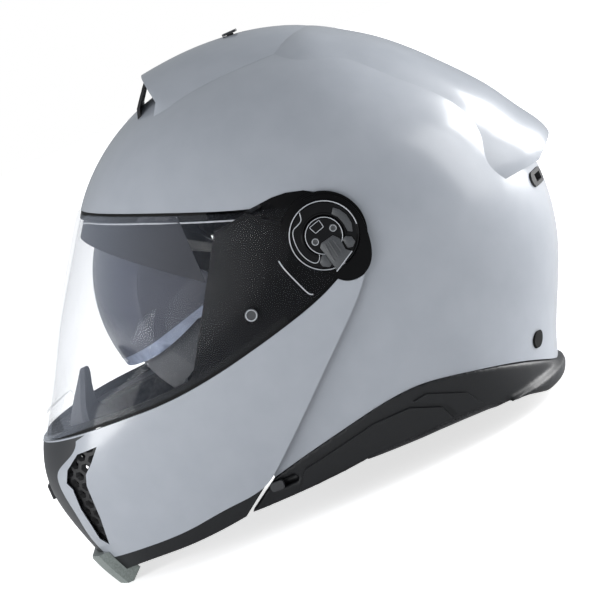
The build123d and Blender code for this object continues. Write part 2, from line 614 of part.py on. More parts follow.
top_vent_cover.part.label = "top_vent_cover"
export_step(top_vent_cover.part, "parts/top_vent_cover.step")

grille_line = place([(-0.074, 0.992), (-0.103, 0.941), (-0.112, 0.900)])
grille_middle_z = (grille_line[0][1] + grille_line[1][1]) / 2
with BuildPart() as top_vent_grille:
    add(vent_form_inside)
    add(shell_0, mode=Mode.SUBTRACT)
    add(slab([(grille_line[0][0], LENGTH)], *[[point] for point in grille_line],
             [(grille_line[-1][0], PIVOT[1])], [(grille_line[-1][0] + GRILLE_WALL, PIVOT[1])],
             *[[point] for point in reversed(raised(grille_line, 0, GRILLE_WALL))],
             [(grille_line[0][0] + GRILLE_WALL, LENGTH)],
             low=-vent_mouth_half, high=vent_mouth_half), mode=Mode.INTERSECT)
    with BuildSketch(Plane.YZ.offset(-LENGTH)):
        with Locations((0, grille_middle_z)):
            with GridLocations(GRILLE_PITCH, GRILLE_PITCH, GRILLE_BARS, 1):
                Rectangle(GRILLE_SLOT, VENT_SLOT_HEIGHT)
    extrude(amount=LENGTH * 2, mode=Mode.SUBTRACT)
top_vent_grille.part.label = "top_vent_grille"
export_step(top_vent_grille.part, "parts/top_vent_grille.step")

with BuildPart() as top_vent_slider:
    with BuildSketch(Plane.XY.offset(slider_floor)):
        with Locations((slider_x, 0)):
            RectangleRounded(SLIDER_LENGTH, SLIDER_WIDTH, SLIDER_HEIGHT / 2)
    extrude(amount=TOP_SLIDER_HEIGHT)
    with BuildSketch(Plane.XY.offset(slider_floor - SLIDER_STEM)):
        with Locations((slider_x, 0)):
            Rectangle(SLIDER_STEM, SLIDER_STEM)
    extrude(amount=SLIDER_STEM)
top_vent_slider.part.label = "top_vent_slider"
export_step(top_vent_slider.part, "parts/top_vent_slider.step")

# Soft lining
crown_floor = place([(-0.120, 0.690), (-0.040, 0.560), (0.050, 0.430), (0.200, 0.360), (0.420, 0.340)])
pad_outside = head_form(PART_GAP)
with BuildPart() as crown_pad:
    add(pad_outside)
    add(head_form(PAD_WALL), mode=Mode.SUBTRACT)
    add(slab(*[[point] for point in crown_floor], [(crown_floor[-1][0], LENGTH)],
             [(crown_floor[0][0], LENGTH)]), mode=Mode.INTERSECT)
crown_pad.part.label = "crown_pad"
export_step(crown_pad.part, "parts/crown_pad.step")

cheek_outline = place([(-0.150, 0.400), (-0.060, 0.540), (0.035, 0.410), (0.185, 0.335), (0.190, 0.200),
                       (0.010, 0.180), (-0.130, 0.130)])
cheek_inside = head_form(CHEEK_WALL)
for name, side in SIDES.items():
    with BuildPart() as cheek_pad:
        add(pad_outside)
        add(cheek_inside, mode=Mode.SUBTRACT)
        add(slab(*[[point] for point in cheek_outline], low=side_range(side, HEAD_HALF_WIDTH / 2, REACH)[0],
                 high=side_range(side, HEAD_HALF_WIDTH / 2, REACH)[1]), mode=Mode.INTERSECT)
    cheek_pad.part.label = "cheek_pad_" + name
    export_step(cheek_pad.part, "parts/cheek_pad_" + name + ".step")

roll_outline_top = raised(SHELL_LOW[2:], -SWING_GAP)
roll_low = place([(0.330, 0.020), (0.255, 0.040), (0.180, 0.052), (0.100, 0.056), (0.010, 0.060)])
roll_notch = [(strap_place[0] - STRAP_WIDTH, -LENGTH), (strap_place[0] + strap_slot_half, -LENGTH),
              (strap_place[0] + strap_slot_half, strap_place[1]),
              (strap_place[0] - STRAP_WIDTH, strap_place[1])]
with BuildPart() as neck_roll:
    add(shell_form(TRIM_WALL + PART_GAP))
    add(shell_form(TRIM_WALL + ROLL_WALL), mode=Mode.SUBTRACT)
    add(slab(roll_outline_top, roll_low), mode=Mode.INTERSECT)
    for side in SIDES.values():
        slot_low, slot_high = side_range(side, 0, strap_outer + LINER_GAP)
        add(slab(*[[point] for point in roll_notch], low=slot_low, high=slot_high), mode=Mode.SUBTRACT)
neck_roll.part.label = "neck_roll"
export_step(neck_roll.part, "parts/neck_roll.step")

# Chin strap, open: each half hangs from its rivet behind the cheek pad and is tucked in under the head
for name, side in SIDES.items():
    outer_y = side * strap_outer
    inner_y = side * (strap_outer - STRAP_WALL)
    tip_y = side * STRAP_END
    outer_bend = STRAP_BEND_RADIUS
    inner_bend = STRAP_BEND_RADIUS - STRAP_WALL
    rise = STRAP_REST + STRAP_BEND_RADIUS
    top = strap_place[1] + RIVET_HEAD_RADIUS
    outer_turn = (outer_y - side * outer_bend, STRAP_REST)
    inner_turn = (outer_y - side * outer_bend, STRAP_REST + STRAP_WALL)
    with BuildPart() as chin_strap:
        with BuildSketch(Plane.YZ.offset(strap_place[0] - STRAP_WIDTH / 2)):
            with BuildLine():
                Line((outer_y, top), (outer_y, rise))
                CenterArc((outer_y - side * outer_bend, rise), outer_bend, 270, 90 * side)
                Line(outer_turn, (tip_y, STRAP_REST))
                Line((tip_y, STRAP_REST), (tip_y, STRAP_REST + STRAP_WALL))
                Line((tip_y, STRAP_REST + STRAP_WALL), inner_turn)
                CenterArc((outer_y - side * outer_bend, rise), inner_bend, 270, 90 * side)
                Line((inner_y, rise), (inner_y, top))
                Line((inner_y, top), (outer_y, top))
            make_face()
        extrude(amount=STRAP_WIDTH)
        add(rod(strap_place, RIVET_RADIUS, -REACH, REACH), mode=Mode.SUBTRACT)
    chin_strap.part.label = "chin_strap_" + name
    export_step(chin_strap.part, "parts/chin_strap_" + name + ".step")

# Ratchet buckle on the left strap and toothed tongue on the right one
strap_top_z = STRAP_REST + STRAP_WALL
buckle_middle_y = -STRAP_END - BUCKLE_LENGTH / 2
buckle_wall = STRAP_WALL
with BuildPart() as buckle_body:
    with BuildSketch(Plane.XY.offset(strap_top_z)):
        with Locations((strap_place[0], buckle_middle_y)):
            Rectangle(STRAP_WIDTH, BUCKLE_LENGTH)
    extrude(amount=BUCKLE_HEIGHT)
    with BuildSketch(Plane.XY.offset(strap_top_z + buckle_wall)):
        with Locations((strap_place[0], buckle_middle_y)):
            Rectangle(STRAP_WIDTH - buckle_wall * 2, BUCKLE_LENGTH + buckle_wall * 2)
    extrude(amount=BUCKLE_HEIGHT, mode=Mode.SUBTRACT)
    with BuildSketch(Plane.YZ.offset(strap_place[0] - STRAP_WIDTH / 2)):
        with Locations((buckle_middle_y, strap_top_z + BUCKLE_HEIGHT - LEVER_PIN_RADIUS * 2)):
            Circle(LEVER_PIN_RADIUS)
    extrude(amount=STRAP_WIDTH)
buckle_body.part.label = "buckle_body"
export_step(buckle_body.part, "parts/buckle_body.step")

lever_width = STRAP_WIDTH - buckle_wall * 2 - PART_GAP * 2
lever_pin_z = strap_top_z + BUCKLE_HEIGHT - LEVER_PIN_RADIUS * 2
with BuildPart() as buckle_lever:
    with BuildSketch(Plane.YZ.offset(strap_place[0] - lever_width / 2)):
        with Locations((buckle_middle_y, lever_pin_z)):
            Circle(LEVER_EYE_RADIUS)
        with Locations((buckle_middle_y - BUCKLE_LENGTH / 4, lever_pin_z + LEVER_PIN_RADIUS / 2)):
            Rectangle(BUCKLE_LENGTH / 2, LEVER_ARM_HEIGHT)
        with Locations((buckle_middle_y, lever_pin_z)):
            Circle(LEVER_PIN_RADIUS + RUN_GAP, mode=Mode.SUBTRACT)
    extrude(amount=lever_width)
buckle_lever.part.label = "buckle_lever"
export_step(buckle_lever.part, "parts/buckle_lever.step")

with BuildPart() as strap_tongue:
    with BuildSketch(Plane.XY.offset(strap_top_z)):
        with Locations((strap_place[0], STRAP_END + TONGUE_LENGTH / 2)):
            RectangleRounded(TONGUE_WIDTH, TONGUE_LENGTH, TONGUE_WIDTH / 4)
    extrude(amount=STRAP_WALL)
    with BuildSketch(Plane.XY.offset(strap_top_z + STRAP_WALL)):
        with Locations((strap_place[0], STRAP_END + TONGUE_LENGTH / 2)):
            with GridLocations(0, STRAP_WALL * 2, 1, TONGUE_TEETH):
                Rectangle(TONGUE_WIDTH / 2, STRAP_WALL)
    extrude(amount=STRAP_WALL / 2)
strap_tongue.part.label = "strap_tongue"
export_step(strap_tongue.part, "parts/strap_tongue.step")

# Strikers that the chin bar's hooks catch
with BuildPart() as latch_strikers:
    for side in SIDES.values():
        plate_low, plate_high = side_range(side, striker_high, striker_plate_high)
        add(rod(striker_place, STRIKER_RADIUS, *side_range(side, striker_low, striker_plate_high)))
        add(slab(*striker_outline, low=plate_low, high=plate_high))
latch_strikers.part.label = "latch_strikers"
export_step(latch_strikers.part, "parts/latch_strikers.step")

# Chin bar: painted shell with a black centre cap
chin_top = [WHITE_FRONT[0]] + raised(VISOR_LOWER[3:], -GASKET_DROP)
vent_slot = place([(-0.376, 0.322), (-0.414, 0.318), (-0.443, 0.290), (-0.455, 0.262), (-0.449, 0.246),
                   (-0.452, 0.196), (-0.448, 0.150), (-0.446, 0.117), (-0.434, 0.099), (-0.426, 0.165),
                   (-0.422, 0.246), (-0.415, 0.270), (-0.398, 0.290)])
vent_slot_room = slab(*[[point] for point in vent_slot])
chin_slider_z = place([(-0.497, 0.235)])[0][1]
chin_top_z = WHITE_FRONT[0][1] - GASKET_DROP
chin_front_room = slab([(-LENGTH, chin_top_z)], [(WHITE_FRONT[0][0], chin_top_z)], WHITE_FRONT[1:],
                       [(-LENGTH, WHITE_FRONT[-1][1])])
chin_slider_slot = front_slab(
    [(-SLIDER_STEM / 2 - PART_GAP, chin_slider_z - SLIDER_STEM / 2 - PART_GAP)],
    [(SLIDER_STEM / 2 + PART_GAP, chin_slider_z - SLIDER_STEM / 2 - PART_GAP)],
    [(SLIDER_STEM / 2 + PART_GAP, chin_slider_z + SLIDER_STEM / 2 + CHIN_VENT_TRAVEL + PART_GAP)],
    [(-SLIDER_STEM / 2 - PART_GAP, chin_slider_z + SLIDER_STEM / 2 + CHIN_VENT_TRAVEL + PART_GAP)],
    low=-LENGTH, high=0)
with BuildPart() as chin_centre:
    add(cover_0)
    add(cover_form(CENTRE_WALL), mode=Mode.SUBTRACT)
    add(chin_front_room, mode=Mode.INTERSECT)
    add(chin_slider_slot, mode=Mode.SUBTRACT)
chin_centre.part.label = "chin_centre"
export_step(chin_centre.part, "parts/chin_centre.step")

cap_clearance = slab(inset_outline(CAP_OUTLINE, PIVOT, -PART_GAP), [PIVOT])
with BuildPart() as chin_bar:
    add(cover_0)
    add(cover_wall_inside, mode=Mode.SUBTRACT)
    add(slab([(-LENGTH, chin_top_z)], chin_top[1:], list(reversed(REAR_SEAM)), list(reversed(CHIN_BOTTOM)),
             [(-LENGTH, CHIN_BOTTOM[0][1])]), mode=Mode.INTERSECT)
    add(rod(PIVOT, ARM_END_RADIUS + PART_GAP, -REACH, REACH), mode=Mode.SUBTRACT)
    add(cap_clearance, mode=Mode.SUBTRACT)
    add(chin_centre.part, mode=Mode.SUBTRACT)
    add(chin_slider_slot, mode=Mode.SUBTRACT)
    add(vent_slot_room, mode=Mode.SUBTRACT)
chin_bar.part.label = "chin_bar"
export_step(chin_bar.part, "parts/chin_bar.step")

with BuildPart() as frame_layer:
    add(frame_outside)
    add(frame_inside, mode=Mode.SUBTRACT)

with BuildPart() as chin_vent_grilles:
    add(frame_layer.part)
    add(vent_slot_room, mode=Mode.INTERSECT)
    for side in SIDES.values():
        with BuildSketch(Plane.YZ.offset(-LENGTH)):
            with Locations((side * (HEAD_HALF_WIDTH - HONEYCOMB_PITCH * 3), chin_slider_z)):
                with HexLocations(HONEYCOMB_PITCH / 2, HONEYCOMB_COLUMNS, HONEYCOMB_ROWS):
                    RegularPolygon(HONEYCOMB_RADIUS, 6)
        extrude(amount=LENGTH, mode=Mode.SUBTRACT)
grille_solids = chin_vent_grilles.part.solids().sort_by(Axis.Y)
for name, grille_solid in zip(SIDES, (grille_solids[0], grille_solids[-1])):
    with BuildPart() as chin_vent_grille:
        add(grille_solid)
    chin_vent_grille.part.label = "chin_vent_grille_" + name
    export_step(chin_vent_grille.part, "parts/chin_vent_grille_" + name + ".step")

slider_front = min(x for x, z in COVER_OUTLINE)
with BuildPart() as chin_vent_slider:
    with BuildSketch(Plane.YZ.offset(slider_front - PART_GAP)):
        with Locations((0, chin_slider_z)):
            RectangleRounded(SLIDER_WIDTH, SLIDER_LENGTH, SLIDER_HEIGHT / 2)
    extrude(amount=-CHIN_SLIDER_HEIGHT)
    with BuildSketch(Plane.YZ.offset(slider_front - PART_GAP)):
        with Locations((0, chin_slider_z)):
            Rectangle(SLIDER_STEM, SLIDER_STEM)
    extrude(amount=SLIDER_STEM)
chin_vent_slider.part.label = "chin_vent_slider"
export_step(chin_vent_slider.part, "parts/chin_vent_slider.step")

# Side frames carry the chin bar on the pivot pins
frame_rear = place([(0.139, 0.463)])[0]
frame_low = place([(-0.240, 0.300), (-0.240, 0.130)])
frame_brow = raised(BROW_LINE[-2:-1], -GASKET_DROP)
gasket_front = [point for point in VISOR_LOWER if point[0] < 0]
gasket_band = slab(raised(gasket_front, GASKET_RISE), list(reversed(raised(gasket_front, -GASKET_DROP))))
with BuildPart() as frame_area:
    add(slab(PORT_EDGE, [frame_low[0]], [frame_low[1]], REAR_SEAM[1:], [frame_rear], [PIVOT], frame_brow))
    add(rod(PIVOT, ARM_END_RADIUS, -REACH, REACH))
    add(gasket_band, mode=Mode.SUBTRACT)
    add(rod(PIVOT, PIVOT_PIN_RADIUS + RUN_GAP, -REACH, REACH), mode=Mode.SUBTRACT)
with BuildPart() as side_frames:
    add(frame_layer.part)
    add(frame_area.part, mode=Mode.INTERSECT)
    frame_floor = recess_floor + RECESS_GAP
    add(rod(PIVOT, ARM_END_RADIUS + SWING_GAP, -frame_floor, frame_floor), mode=Mode.SUBTRACT)
frame_solids = side_frames.part.solids().sort_by(Axis.Y)

hook_pivot = place([(-0.232, 0.225)])[0]
hook_low = striker_low + HOOK_WALL / 2
for name, frame_solid, side in zip(SIDES, (frame_solids[0], frame_solids[-1]), SIDES.values()):
    with BuildPart() as hook_boss:
        add(rod(hook_pivot, HOOK_BOSS_RADIUS, *side_range(side, hook_low + HOOK_WALL + PART_GAP, REACH)))
        add(rod(hook_pivot, HOOK_PIN_RADIUS, *side_range(side, hook_low - PART_GAP, REACH)))
        add(frame_inside, mode=Mode.INTERSECT)
    with BuildPart() as side_frame:
        add(frame_solid)
        add(hook_boss.part)
    side_frame.part.label = "side_frame_" + name
    export_step(side_frame.part, "parts/side_frame_" + name + ".step")
    hook_side_low, hook_side_high = side_range(side, hook_low, hook_low + HOOK_WALL)
    with BuildPart() as latch_hook:
        with BuildSketch(Plane.XZ.offset(-hook_side_high)):
            with Locations(hook_pivot):
                Circle(HOOK_RADIUS)
            with BuildLine():
                Polyline((hook_pivot[0] - HOOK_RADIUS / 2, hook_pivot[1] - HOOK_RADIUS / 2),
                         (striker_place[0] - HOOK_RADIUS, striker_place[1] - HOOK_RADIUS),
                         (striker_place[0] - HOOK_PIN_RADIUS, striker_place[1] - HOOK_RADIUS),
                         (striker_place[0] - HOOK_PIN_RADIUS, striker_place[1] + HOOK_WALL),
                         (hook_pivot[0] + HOOK_RADIUS / 2, hook_pivot[1] + HOOK_RADIUS / 2), close=True)
            make_face()
            with Locations(hook_pivot):
                Circle(HOOK_PIN_RADIUS + RUN_GAP, mode=Mode.SUBTRACT)
            with Locations(striker_place):
                Circle(STRIKER_RADIUS + NOTCH_GAP, mode=Mode.SUBTRACT)
        extrude(amount=HOOK_WALL)
    latch_hook.part.label = "latch_hook_" + name
    export_step(latch_hook.part, "parts/latch_hook_" + name + ".step")

# Caps behind the pivots, bosses with a flange for the visor and quick-release levers
visor_clear_sector = place([(0.101, 0.555), (0.025, 1.800), (-0.800, 1.200)])
lever_sector = place([(0.101, 0.555), (0.230, 0.480), (0.115, 0.390)])
boss_top = COVER_HALF_WIDTH + PART_GAP
flange_top = boss_top + HUB_FLANGE_WALL
for name, side in SIDES.items():
    side_low, side_high = side_range(side, 0, REACH)
    with BuildPart() as arm_cap:
        add(cover_0)
        add(cover_wall_inside, mode=Mode.SUBTRACT)
        add(slab(CAP_OUTLINE, [PIVOT], low=side_low, high=side_high), mode=Mode.INTERSECT)
        add(rod(PIVOT, HUB_RADIUS + PART_GAP, side_low, side_high), mode=Mode.SUBTRACT)
    arm_cap.part.label = "arm_cap_" + name
    export_step(arm_cap.part, "parts/arm_cap_" + name + ".step")
    with BuildPart() as visor_boss:
        add(rod(PIVOT, HUB_INNER_RADIUS - PART_GAP, *side_range(side, COVER_HALF_WIDTH / 2, boss_top)))
        add(frame_outside, mode=Mode.SUBTRACT)
        add(rod(PIVOT, HUB_INNER_RADIUS + HUB_FLANGE, *side_range(side, boss_top, flange_top)))
        add(rod(PIVOT, PIVOT_PIN_RADIUS + PART_GAP, *side_range(side, 0, pin_end + PART_GAP)),
            mode=Mode.SUBTRACT)
    visor_boss.part.label = "visor_boss_" + name
    export_step(visor_boss.part, "parts/visor_boss_" + name + ".step")
    lever_low, lever_high = side_range(side, boss_top, boss_top + LEVER_WALL)
    with BuildPart() as release_lever:
        with BuildSketch(Plane.XZ.offset(-lever_high)):
            with Locations(PIVOT):
                Circle(LEVER_REACH)
                Circle(HUB_INNER_RADIUS + HUB_FLANGE + PART_GAP, mode=Mode.SUBTRACT)
            with BuildLine():
                Polyline(*lever_sector, close=True)
            make_face(mode=Mode.INTERSECT)
        extrude(amount=LEVER_WALL)
    release_lever.part.label = "release_lever_" + name
    export_step(release_lever.part, "parts/release_lever_" + name + ".step")

# Clear visor with its hubs and lens pins
visor_top = raised(BROW_LINE, -SWING_GAP)
visor_rear = place([(0.084, 0.625), (0.101, 0.555), (0.090, 0.470)])
visor_lip_outline = place([(-0.520, 0.358), (-0.520, 0.380), (-0.420, 0.404), (-0.420, 0.372)])
visor_low = list(reversed(VISOR_LOWER))
with BuildPart() as visor_lip:
    add(cover_form(-LIP_REACH))
    add(cover_0, mode=Mode.SUBTRACT)
    add(slab(*[[point] for point in visor_lip_outline], low=-LIP_HALF_WIDTH, high=LIP_HALF_WIDTH),
        mode=Mode.INTERSECT)
with BuildPart() as visor_corner:
    add(rod(PIVOT, ARM_END_RADIUS + PART_GAP, -REACH, REACH))
    add(slab(*[[point] for point in visor_clear_sector]), mode=Mode.INTERSECT)
with BuildPart() as visor:
    add(cover_0)
    add(cover_wall_inside, mode=Mode.SUBTRACT)
    add(slab(visor_top, *[[point] for point in visor_rear], visor_low, [(-LENGTH, visor_low[-1][1])],
             [(-LENGTH, visor_top[0][1])]), mode=Mode.INTERSECT)
    add(visor_lip.part)
    add(rod(PIVOT, HUB_RADIUS, -REACH, REACH), mode=Mode.SUBTRACT)
    add(visor_corner.part, mode=Mode.SUBTRACT)
visor.part.label = "visor"
export_step(visor.part, "parts/visor.step")

hub_floor = COVER_HALF_WIDTH - COVER_WALL - RUN_GAP * 2
for name, side in SIDES.items():
    side_low, side_high = side_range(side, 0, REACH)
    with BuildPart() as visor_hub:
        add(cover_0)
        add(cover_wall_inside, mode=Mode.SUBTRACT)
        add(rod(PIVOT, HUB_RADIUS, side_low, side_high), mode=Mode.INTERSECT)
        add(rod(PIVOT, HUB_INNER_RADIUS, side_low, side_high), mode=Mode.SUBTRACT)
        add(rod(PIVOT, HUB_RADIUS + PART_GAP, *side_range(side, 0, hub_floor)), mode=Mode.SUBTRACT)
    visor_hub.part.label = "visor_hub_" + name
    export_step(visor_hub.part, "parts/visor_hub_" + name + ".step")

lens_pin_place = place([(-0.055, 0.462)])[0]
with BuildPart() as lens_pins:
    add(cover_form(-LENS_PIN_PROUD))
    add(cover_0, mode=Mode.SUBTRACT)
    add(rod(lens_pin_place, LENS_PIN_RADIUS, -REACH, REACH), mode=Mode.INTERSECT)
lens_pins.part.label = "lens_pins"
export_step(lens_pins.part, "parts/lens_pins.step")

# Seal on the chin bar below the visor
with BuildPart() as visor_seal:
    add(frame_layer.part)
    add(gasket_band, mode=Mode.INTERSECT)
visor_seal.part.label = "visor_seal"
export_step(visor_seal.part, "parts/visor_seal.step")

# Chin trim and the wind curtain that the helmet rests on in front
with BuildPart() as chin_trim:
    add(cover_0)
    add(frame_inside, mode=Mode.SUBTRACT)
    add(slab([(-LENGTH, CHIN_BOTTOM[0][1])], CHIN_BOTTOM[:-1], list(reversed(CHIN_TRIM_LOW)),
             [(-LENGTH, CHIN_TRIM_LOW[0][1])]), mode=Mode.INTERSECT)
    add(chin_bar.part, mode=Mode.SUBTRACT)
chin_trim.part.label = "chin_trim"
export_step(chin_trim.part, "parts/chin_trim.step")

with BuildPart() as curtain_clearance:
    add(cover_form(-PART_GAP))
    add(slab([(-LENGTH, CHIN_TRIM_LOW[0][1])], raised(CHIN_TRIM_LOW, -PART_GAP), [(0, HEIGHT)],
             [(-LENGTH, HEIGHT)]), mode=Mode.INTERSECT)
with BuildPart() as chin_curtain:
    add(cover_form(-CURTAIN_REACH))
    add(frame_inside, mode=Mode.SUBTRACT)
    add(slab(*[[point] for point in CURTAIN_OUTLINE], low=-CURTAIN_HALF_WIDTH, high=CURTAIN_HALF_WIDTH),
        mode=Mode.INTERSECT)
    add(curtain_clearance.part, mode=Mode.SUBTRACT)
chin_curtain.part.label = "chin_curtain"
export_step(chin_curtain.part, "parts/chin_curtain.step")

# Foam in the chin, with the release button's pocket, the grille on its top and the breath guard
foam_rear_x = place([(-0.262, 0.079)])[0][0]
button_front, button_z = place([(-0.455, 0.115)])[0]
pocket_outline = [[(-BUTTON_HALF_WIDTH - PART_GAP, button_z - BUTTON_HALF_HEIGHT - PART_GAP)],
                  [(BUTTON_HALF_WIDTH + PART_GAP, button_z - BUTTON_HALF_HEIGHT - PART_GAP)],
                  [(BUTTON_HALF_WIDTH + PART_GAP, button_z + BUTTON_HALF_HEIGHT + PART_GAP)],
                  [(-BUTTON_HALF_WIDTH - PART_GAP, button_z + BUTTON_HALF_HEIGHT + PART_GAP)]]
with BuildPart() as chin_foam:
    add(frame_outside)
    add(chin_foam_inside, mode=Mode.SUBTRACT)
    add(slab([(-LENGTH, CHIN_BOTTOM[0][1] + SWING_GAP)], [(foam_rear_x, CHIN_BOTTOM[2][1] + SWING_GAP)],
             [(foam_rear_x, chin_top_z - GASKET_DROP)], [(-LENGTH, chin_top_z - GASKET_DROP)]),
        mode=Mode.INTERSECT)
    add(vent_slot_room, mode=Mode.SUBTRACT)
    add(front_slab(*pocket_outline, low=button_front - SWING_GAP - BUTTON_PROUD, high=0), mode=Mode.SUBTRACT)
    add(front_slab([(-SLIDER_WIDTH, chin_slider_z - SLIDER_WIDTH)],
                   [(SLIDER_WIDTH, chin_slider_z - SLIDER_WIDTH)],
                   [(SLIDER_WIDTH, chin_slider_z + SLIDER_WIDTH)],
                   [(-SLIDER_WIDTH, chin_slider_z + SLIDER_WIDTH)],
                   low=-LENGTH, high=slider_front + SLIDER_WIDTH), mode=Mode.SUBTRACT)
chin_foam.part.label = "chin_foam"
export_step(chin_foam.part, "parts/chin_foam.step")

with BuildPart() as release_button:
    with BuildSketch(Plane.YZ.offset(button_front)):
        with Locations((0, button_z)):
            RectangleRounded(BUTTON_HALF_WIDTH * 2, BUTTON_HALF_HEIGHT * 2, BUTTON_HALF_HEIGHT / 2)
    extrude(amount=BUTTON_LENGTH + BUTTON_PROUD)
release_button.part.label = "release_button"
export_step(release_button.part, "parts/release_button.step")

with BuildPart() as demist_grille:
    add(frame_inside)
    add(chin_foam_inside, mode=Mode.SUBTRACT)
    add(slab([(-LENGTH, chin_top_z - GASKET_DROP)], [(LENGTH, chin_top_z - GASKET_DROP)],
             [(LENGTH, chin_top_z + GASKET_DROP)], [(-LENGTH, chin_top_z + GASKET_DROP)],
             low=-DEMIST_HALF_WIDTH, high=DEMIST_HALF_WIDTH), mode=Mode.INTERSECT)
    add(slab([(0, -LENGTH)], [(LENGTH, -LENGTH)], [(LENGTH, LENGTH)], [(0, LENGTH)]), mode=Mode.SUBTRACT)
    with BuildSketch(Plane.XY):
        with Locations((button_front + GRILLE_PITCH, 0)):
            with GridLocations(0, GRILLE_PITCH, 1, GRILLE_BARS):
                Rectangle(CHIN_FOAM_WALL / 2, GRILLE_SLOT)
    extrude(amount=LENGTH, mode=Mode.SUBTRACT)
demist_grille.part.label = "demist_grille"
export_step(demist_grille.part, "parts/demist_grille.step")

guard_peak = place([(-0.400, 0.459)])[0][1]
guard_low = chin_top_z - GUARD_DEPTH
guard_shoulder = GUARD_HALF_WIDTH * GUARD_SHOULDER_SHARE
guard_crest = GUARD_HALF_WIDTH * GUARD_CREST_SHARE
guard_outline = [(-GUARD_HALF_WIDTH, guard_low), (-guard_shoulder, chin_top_z + GASKET_DROP),
                 (-guard_crest, guard_peak - GUARD_WALL), (0, guard_peak),
                 (guard_crest, guard_peak - GUARD_WALL), (guard_shoulder, chin_top_z + GASKET_DROP),
                 (GUARD_HALF_WIDTH, guard_low)]
with BuildPart() as breath_guard:
    add(chin_foam_inside)
    add(guard_inside, mode=Mode.SUBTRACT)
    add(front_slab(guard_outline, low=-LENGTH, high=-LENGTH / 4), mode=Mode.INTERSECT)
breath_guard.part.label = "breath_guard"
export_step(breath_guard.part, "parts/breath_guard.step")
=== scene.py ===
"""Looks of the modular motorcycle helmet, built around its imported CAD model.

Metres, +Z up, the face looks along -X and the wearer's left is -Y.
"""
import json
from math import cos, exp, pi, radians, sin

import bpy
from mathutils import Matrix, Vector


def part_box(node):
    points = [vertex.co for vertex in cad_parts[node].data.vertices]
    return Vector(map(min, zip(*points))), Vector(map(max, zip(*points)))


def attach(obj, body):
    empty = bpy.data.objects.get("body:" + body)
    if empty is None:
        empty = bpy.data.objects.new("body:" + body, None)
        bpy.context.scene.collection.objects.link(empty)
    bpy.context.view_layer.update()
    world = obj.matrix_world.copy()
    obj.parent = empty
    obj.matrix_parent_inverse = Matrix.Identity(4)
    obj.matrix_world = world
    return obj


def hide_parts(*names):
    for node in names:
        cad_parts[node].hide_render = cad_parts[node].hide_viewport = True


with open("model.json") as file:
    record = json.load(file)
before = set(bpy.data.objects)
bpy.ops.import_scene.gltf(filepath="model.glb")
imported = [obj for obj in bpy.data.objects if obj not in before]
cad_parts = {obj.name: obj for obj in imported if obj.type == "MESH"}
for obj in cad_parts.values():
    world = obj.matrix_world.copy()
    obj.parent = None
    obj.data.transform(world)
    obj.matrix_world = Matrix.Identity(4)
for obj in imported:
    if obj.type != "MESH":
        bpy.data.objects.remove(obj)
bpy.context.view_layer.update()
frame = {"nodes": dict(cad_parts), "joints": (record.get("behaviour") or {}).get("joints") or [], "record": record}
NODES = frame["nodes"]
MM = 0.001

# Rays towards the helmet's side start here, well outside it
RAY_START_LATERAL = 0.3

# Camera, from the tilt and the rise that the photograph shows
CAMERA_TARGET = Vector((0.0032, 0.0, 0.1070))
CAMERA_DISTANCE = 2.2
CAMERA_CLIP_END = 20
CAMERA_ROLL_ANGLE = radians(24.0)
CAMERA_RISE_ANGLE = radians(6.5)
CAMERA_LENS = 223.35
SENSOR_WIDTH = 36.0

# Soft boxes: name, place, width and height, power
SOFT_BOXES = [("key_softbox", (-1.3, -2.0, 0.30), (1.6, 1.2), 17),
              ("front_softbox", (-1.9, -0.6, 0.25), (1.0, 1.2), 27),
              ("rear_softbox", (1.8, -0.3, 0.5), (0.8, 1.6), 13),
              ("rim_softbox", (1.9, 0.9, 0.5), (1.0, 1.4), 55)]

# The light that the surroundings give off, and the floor's glow near the helmet and far from it
WHITE = (1, 1, 1, 1)
SURROUNDINGS_COLOR = (0.90, 0.95, 1.0, 1)
SURROUNDINGS_STRENGTH = 0.36
FLOOR_SIZE = 12
GLOW_NEAR_RADIUS = 0.25
GLOW_FAR_RADIUS = 0.60
GLOW_NEAR_STRENGTH = 0.70
GLOW_FAR_STRENGTH = 1.0

# Pivots of the chin bar and of the sun visor, from the joints
JOINT_PLACES = {joint["name"]: joint.get("pos_m") for joint in frame["joints"]}
PIVOT = Vector(JOINT_PLACES["chin_bar_flip"])
SUN_VISOR_PIVOT = Vector(JOINT_PLACES["sun_visor_tilt"])
SIDES = {"left": -1, "right": 1}
HUB = (PIVOT.x / MM, PIVOT.z / MM)

# Corners nearer than this are merged, and edges up to these angles are shaded smooth
COPY_MERGE = 0.00001
TURNED_MERGE = 0.000002
SMOOTH_ANGLE = radians(40)
TRIM_SMOOTH_ANGLE = radians(50)

# Padding: its mesh, the steps of its filling, how each pad is filled and how its seams are drawn in
PAD_VOXEL = 0.004
PAD_FILLING_STEPS = 20
CROWN_FILLING = {"shrink": 0.0012, "pressure": 3.0, "cap": 0.003}
CHEEK_FILLING = {"shrink": 0.002, "pressure": 4.0, "cap": 0.006}
ROLL_FILLING = {"shrink": 0.0015, "pressure": 3.0, "cap": 0.004}
CROWN_SEAM = {"depth": 0.0022, "width": 0.0025}
CHEEK_SEAM = {"depth": 0.0025, "width": 0.003}
ROLL_SEAM = {"depth": 0.002, "width": 0.002}
CROWN_SEAM_LATERAL = 0.032
CHEEK_SEAM_PLACE = -0.01
CHEEK_SEAM_HEIGHT = 0.092
CHEEK_SEAM_FALL = 0.5
ROLL_SEAM_HEIGHT = 0.030

# Straps
STRAP_WALL = 0.002
STRAP_BEND_RADIUS = 0.014
STRAP_BEND_STEPS = 8
SELVEDGE_SHARE = 0.4

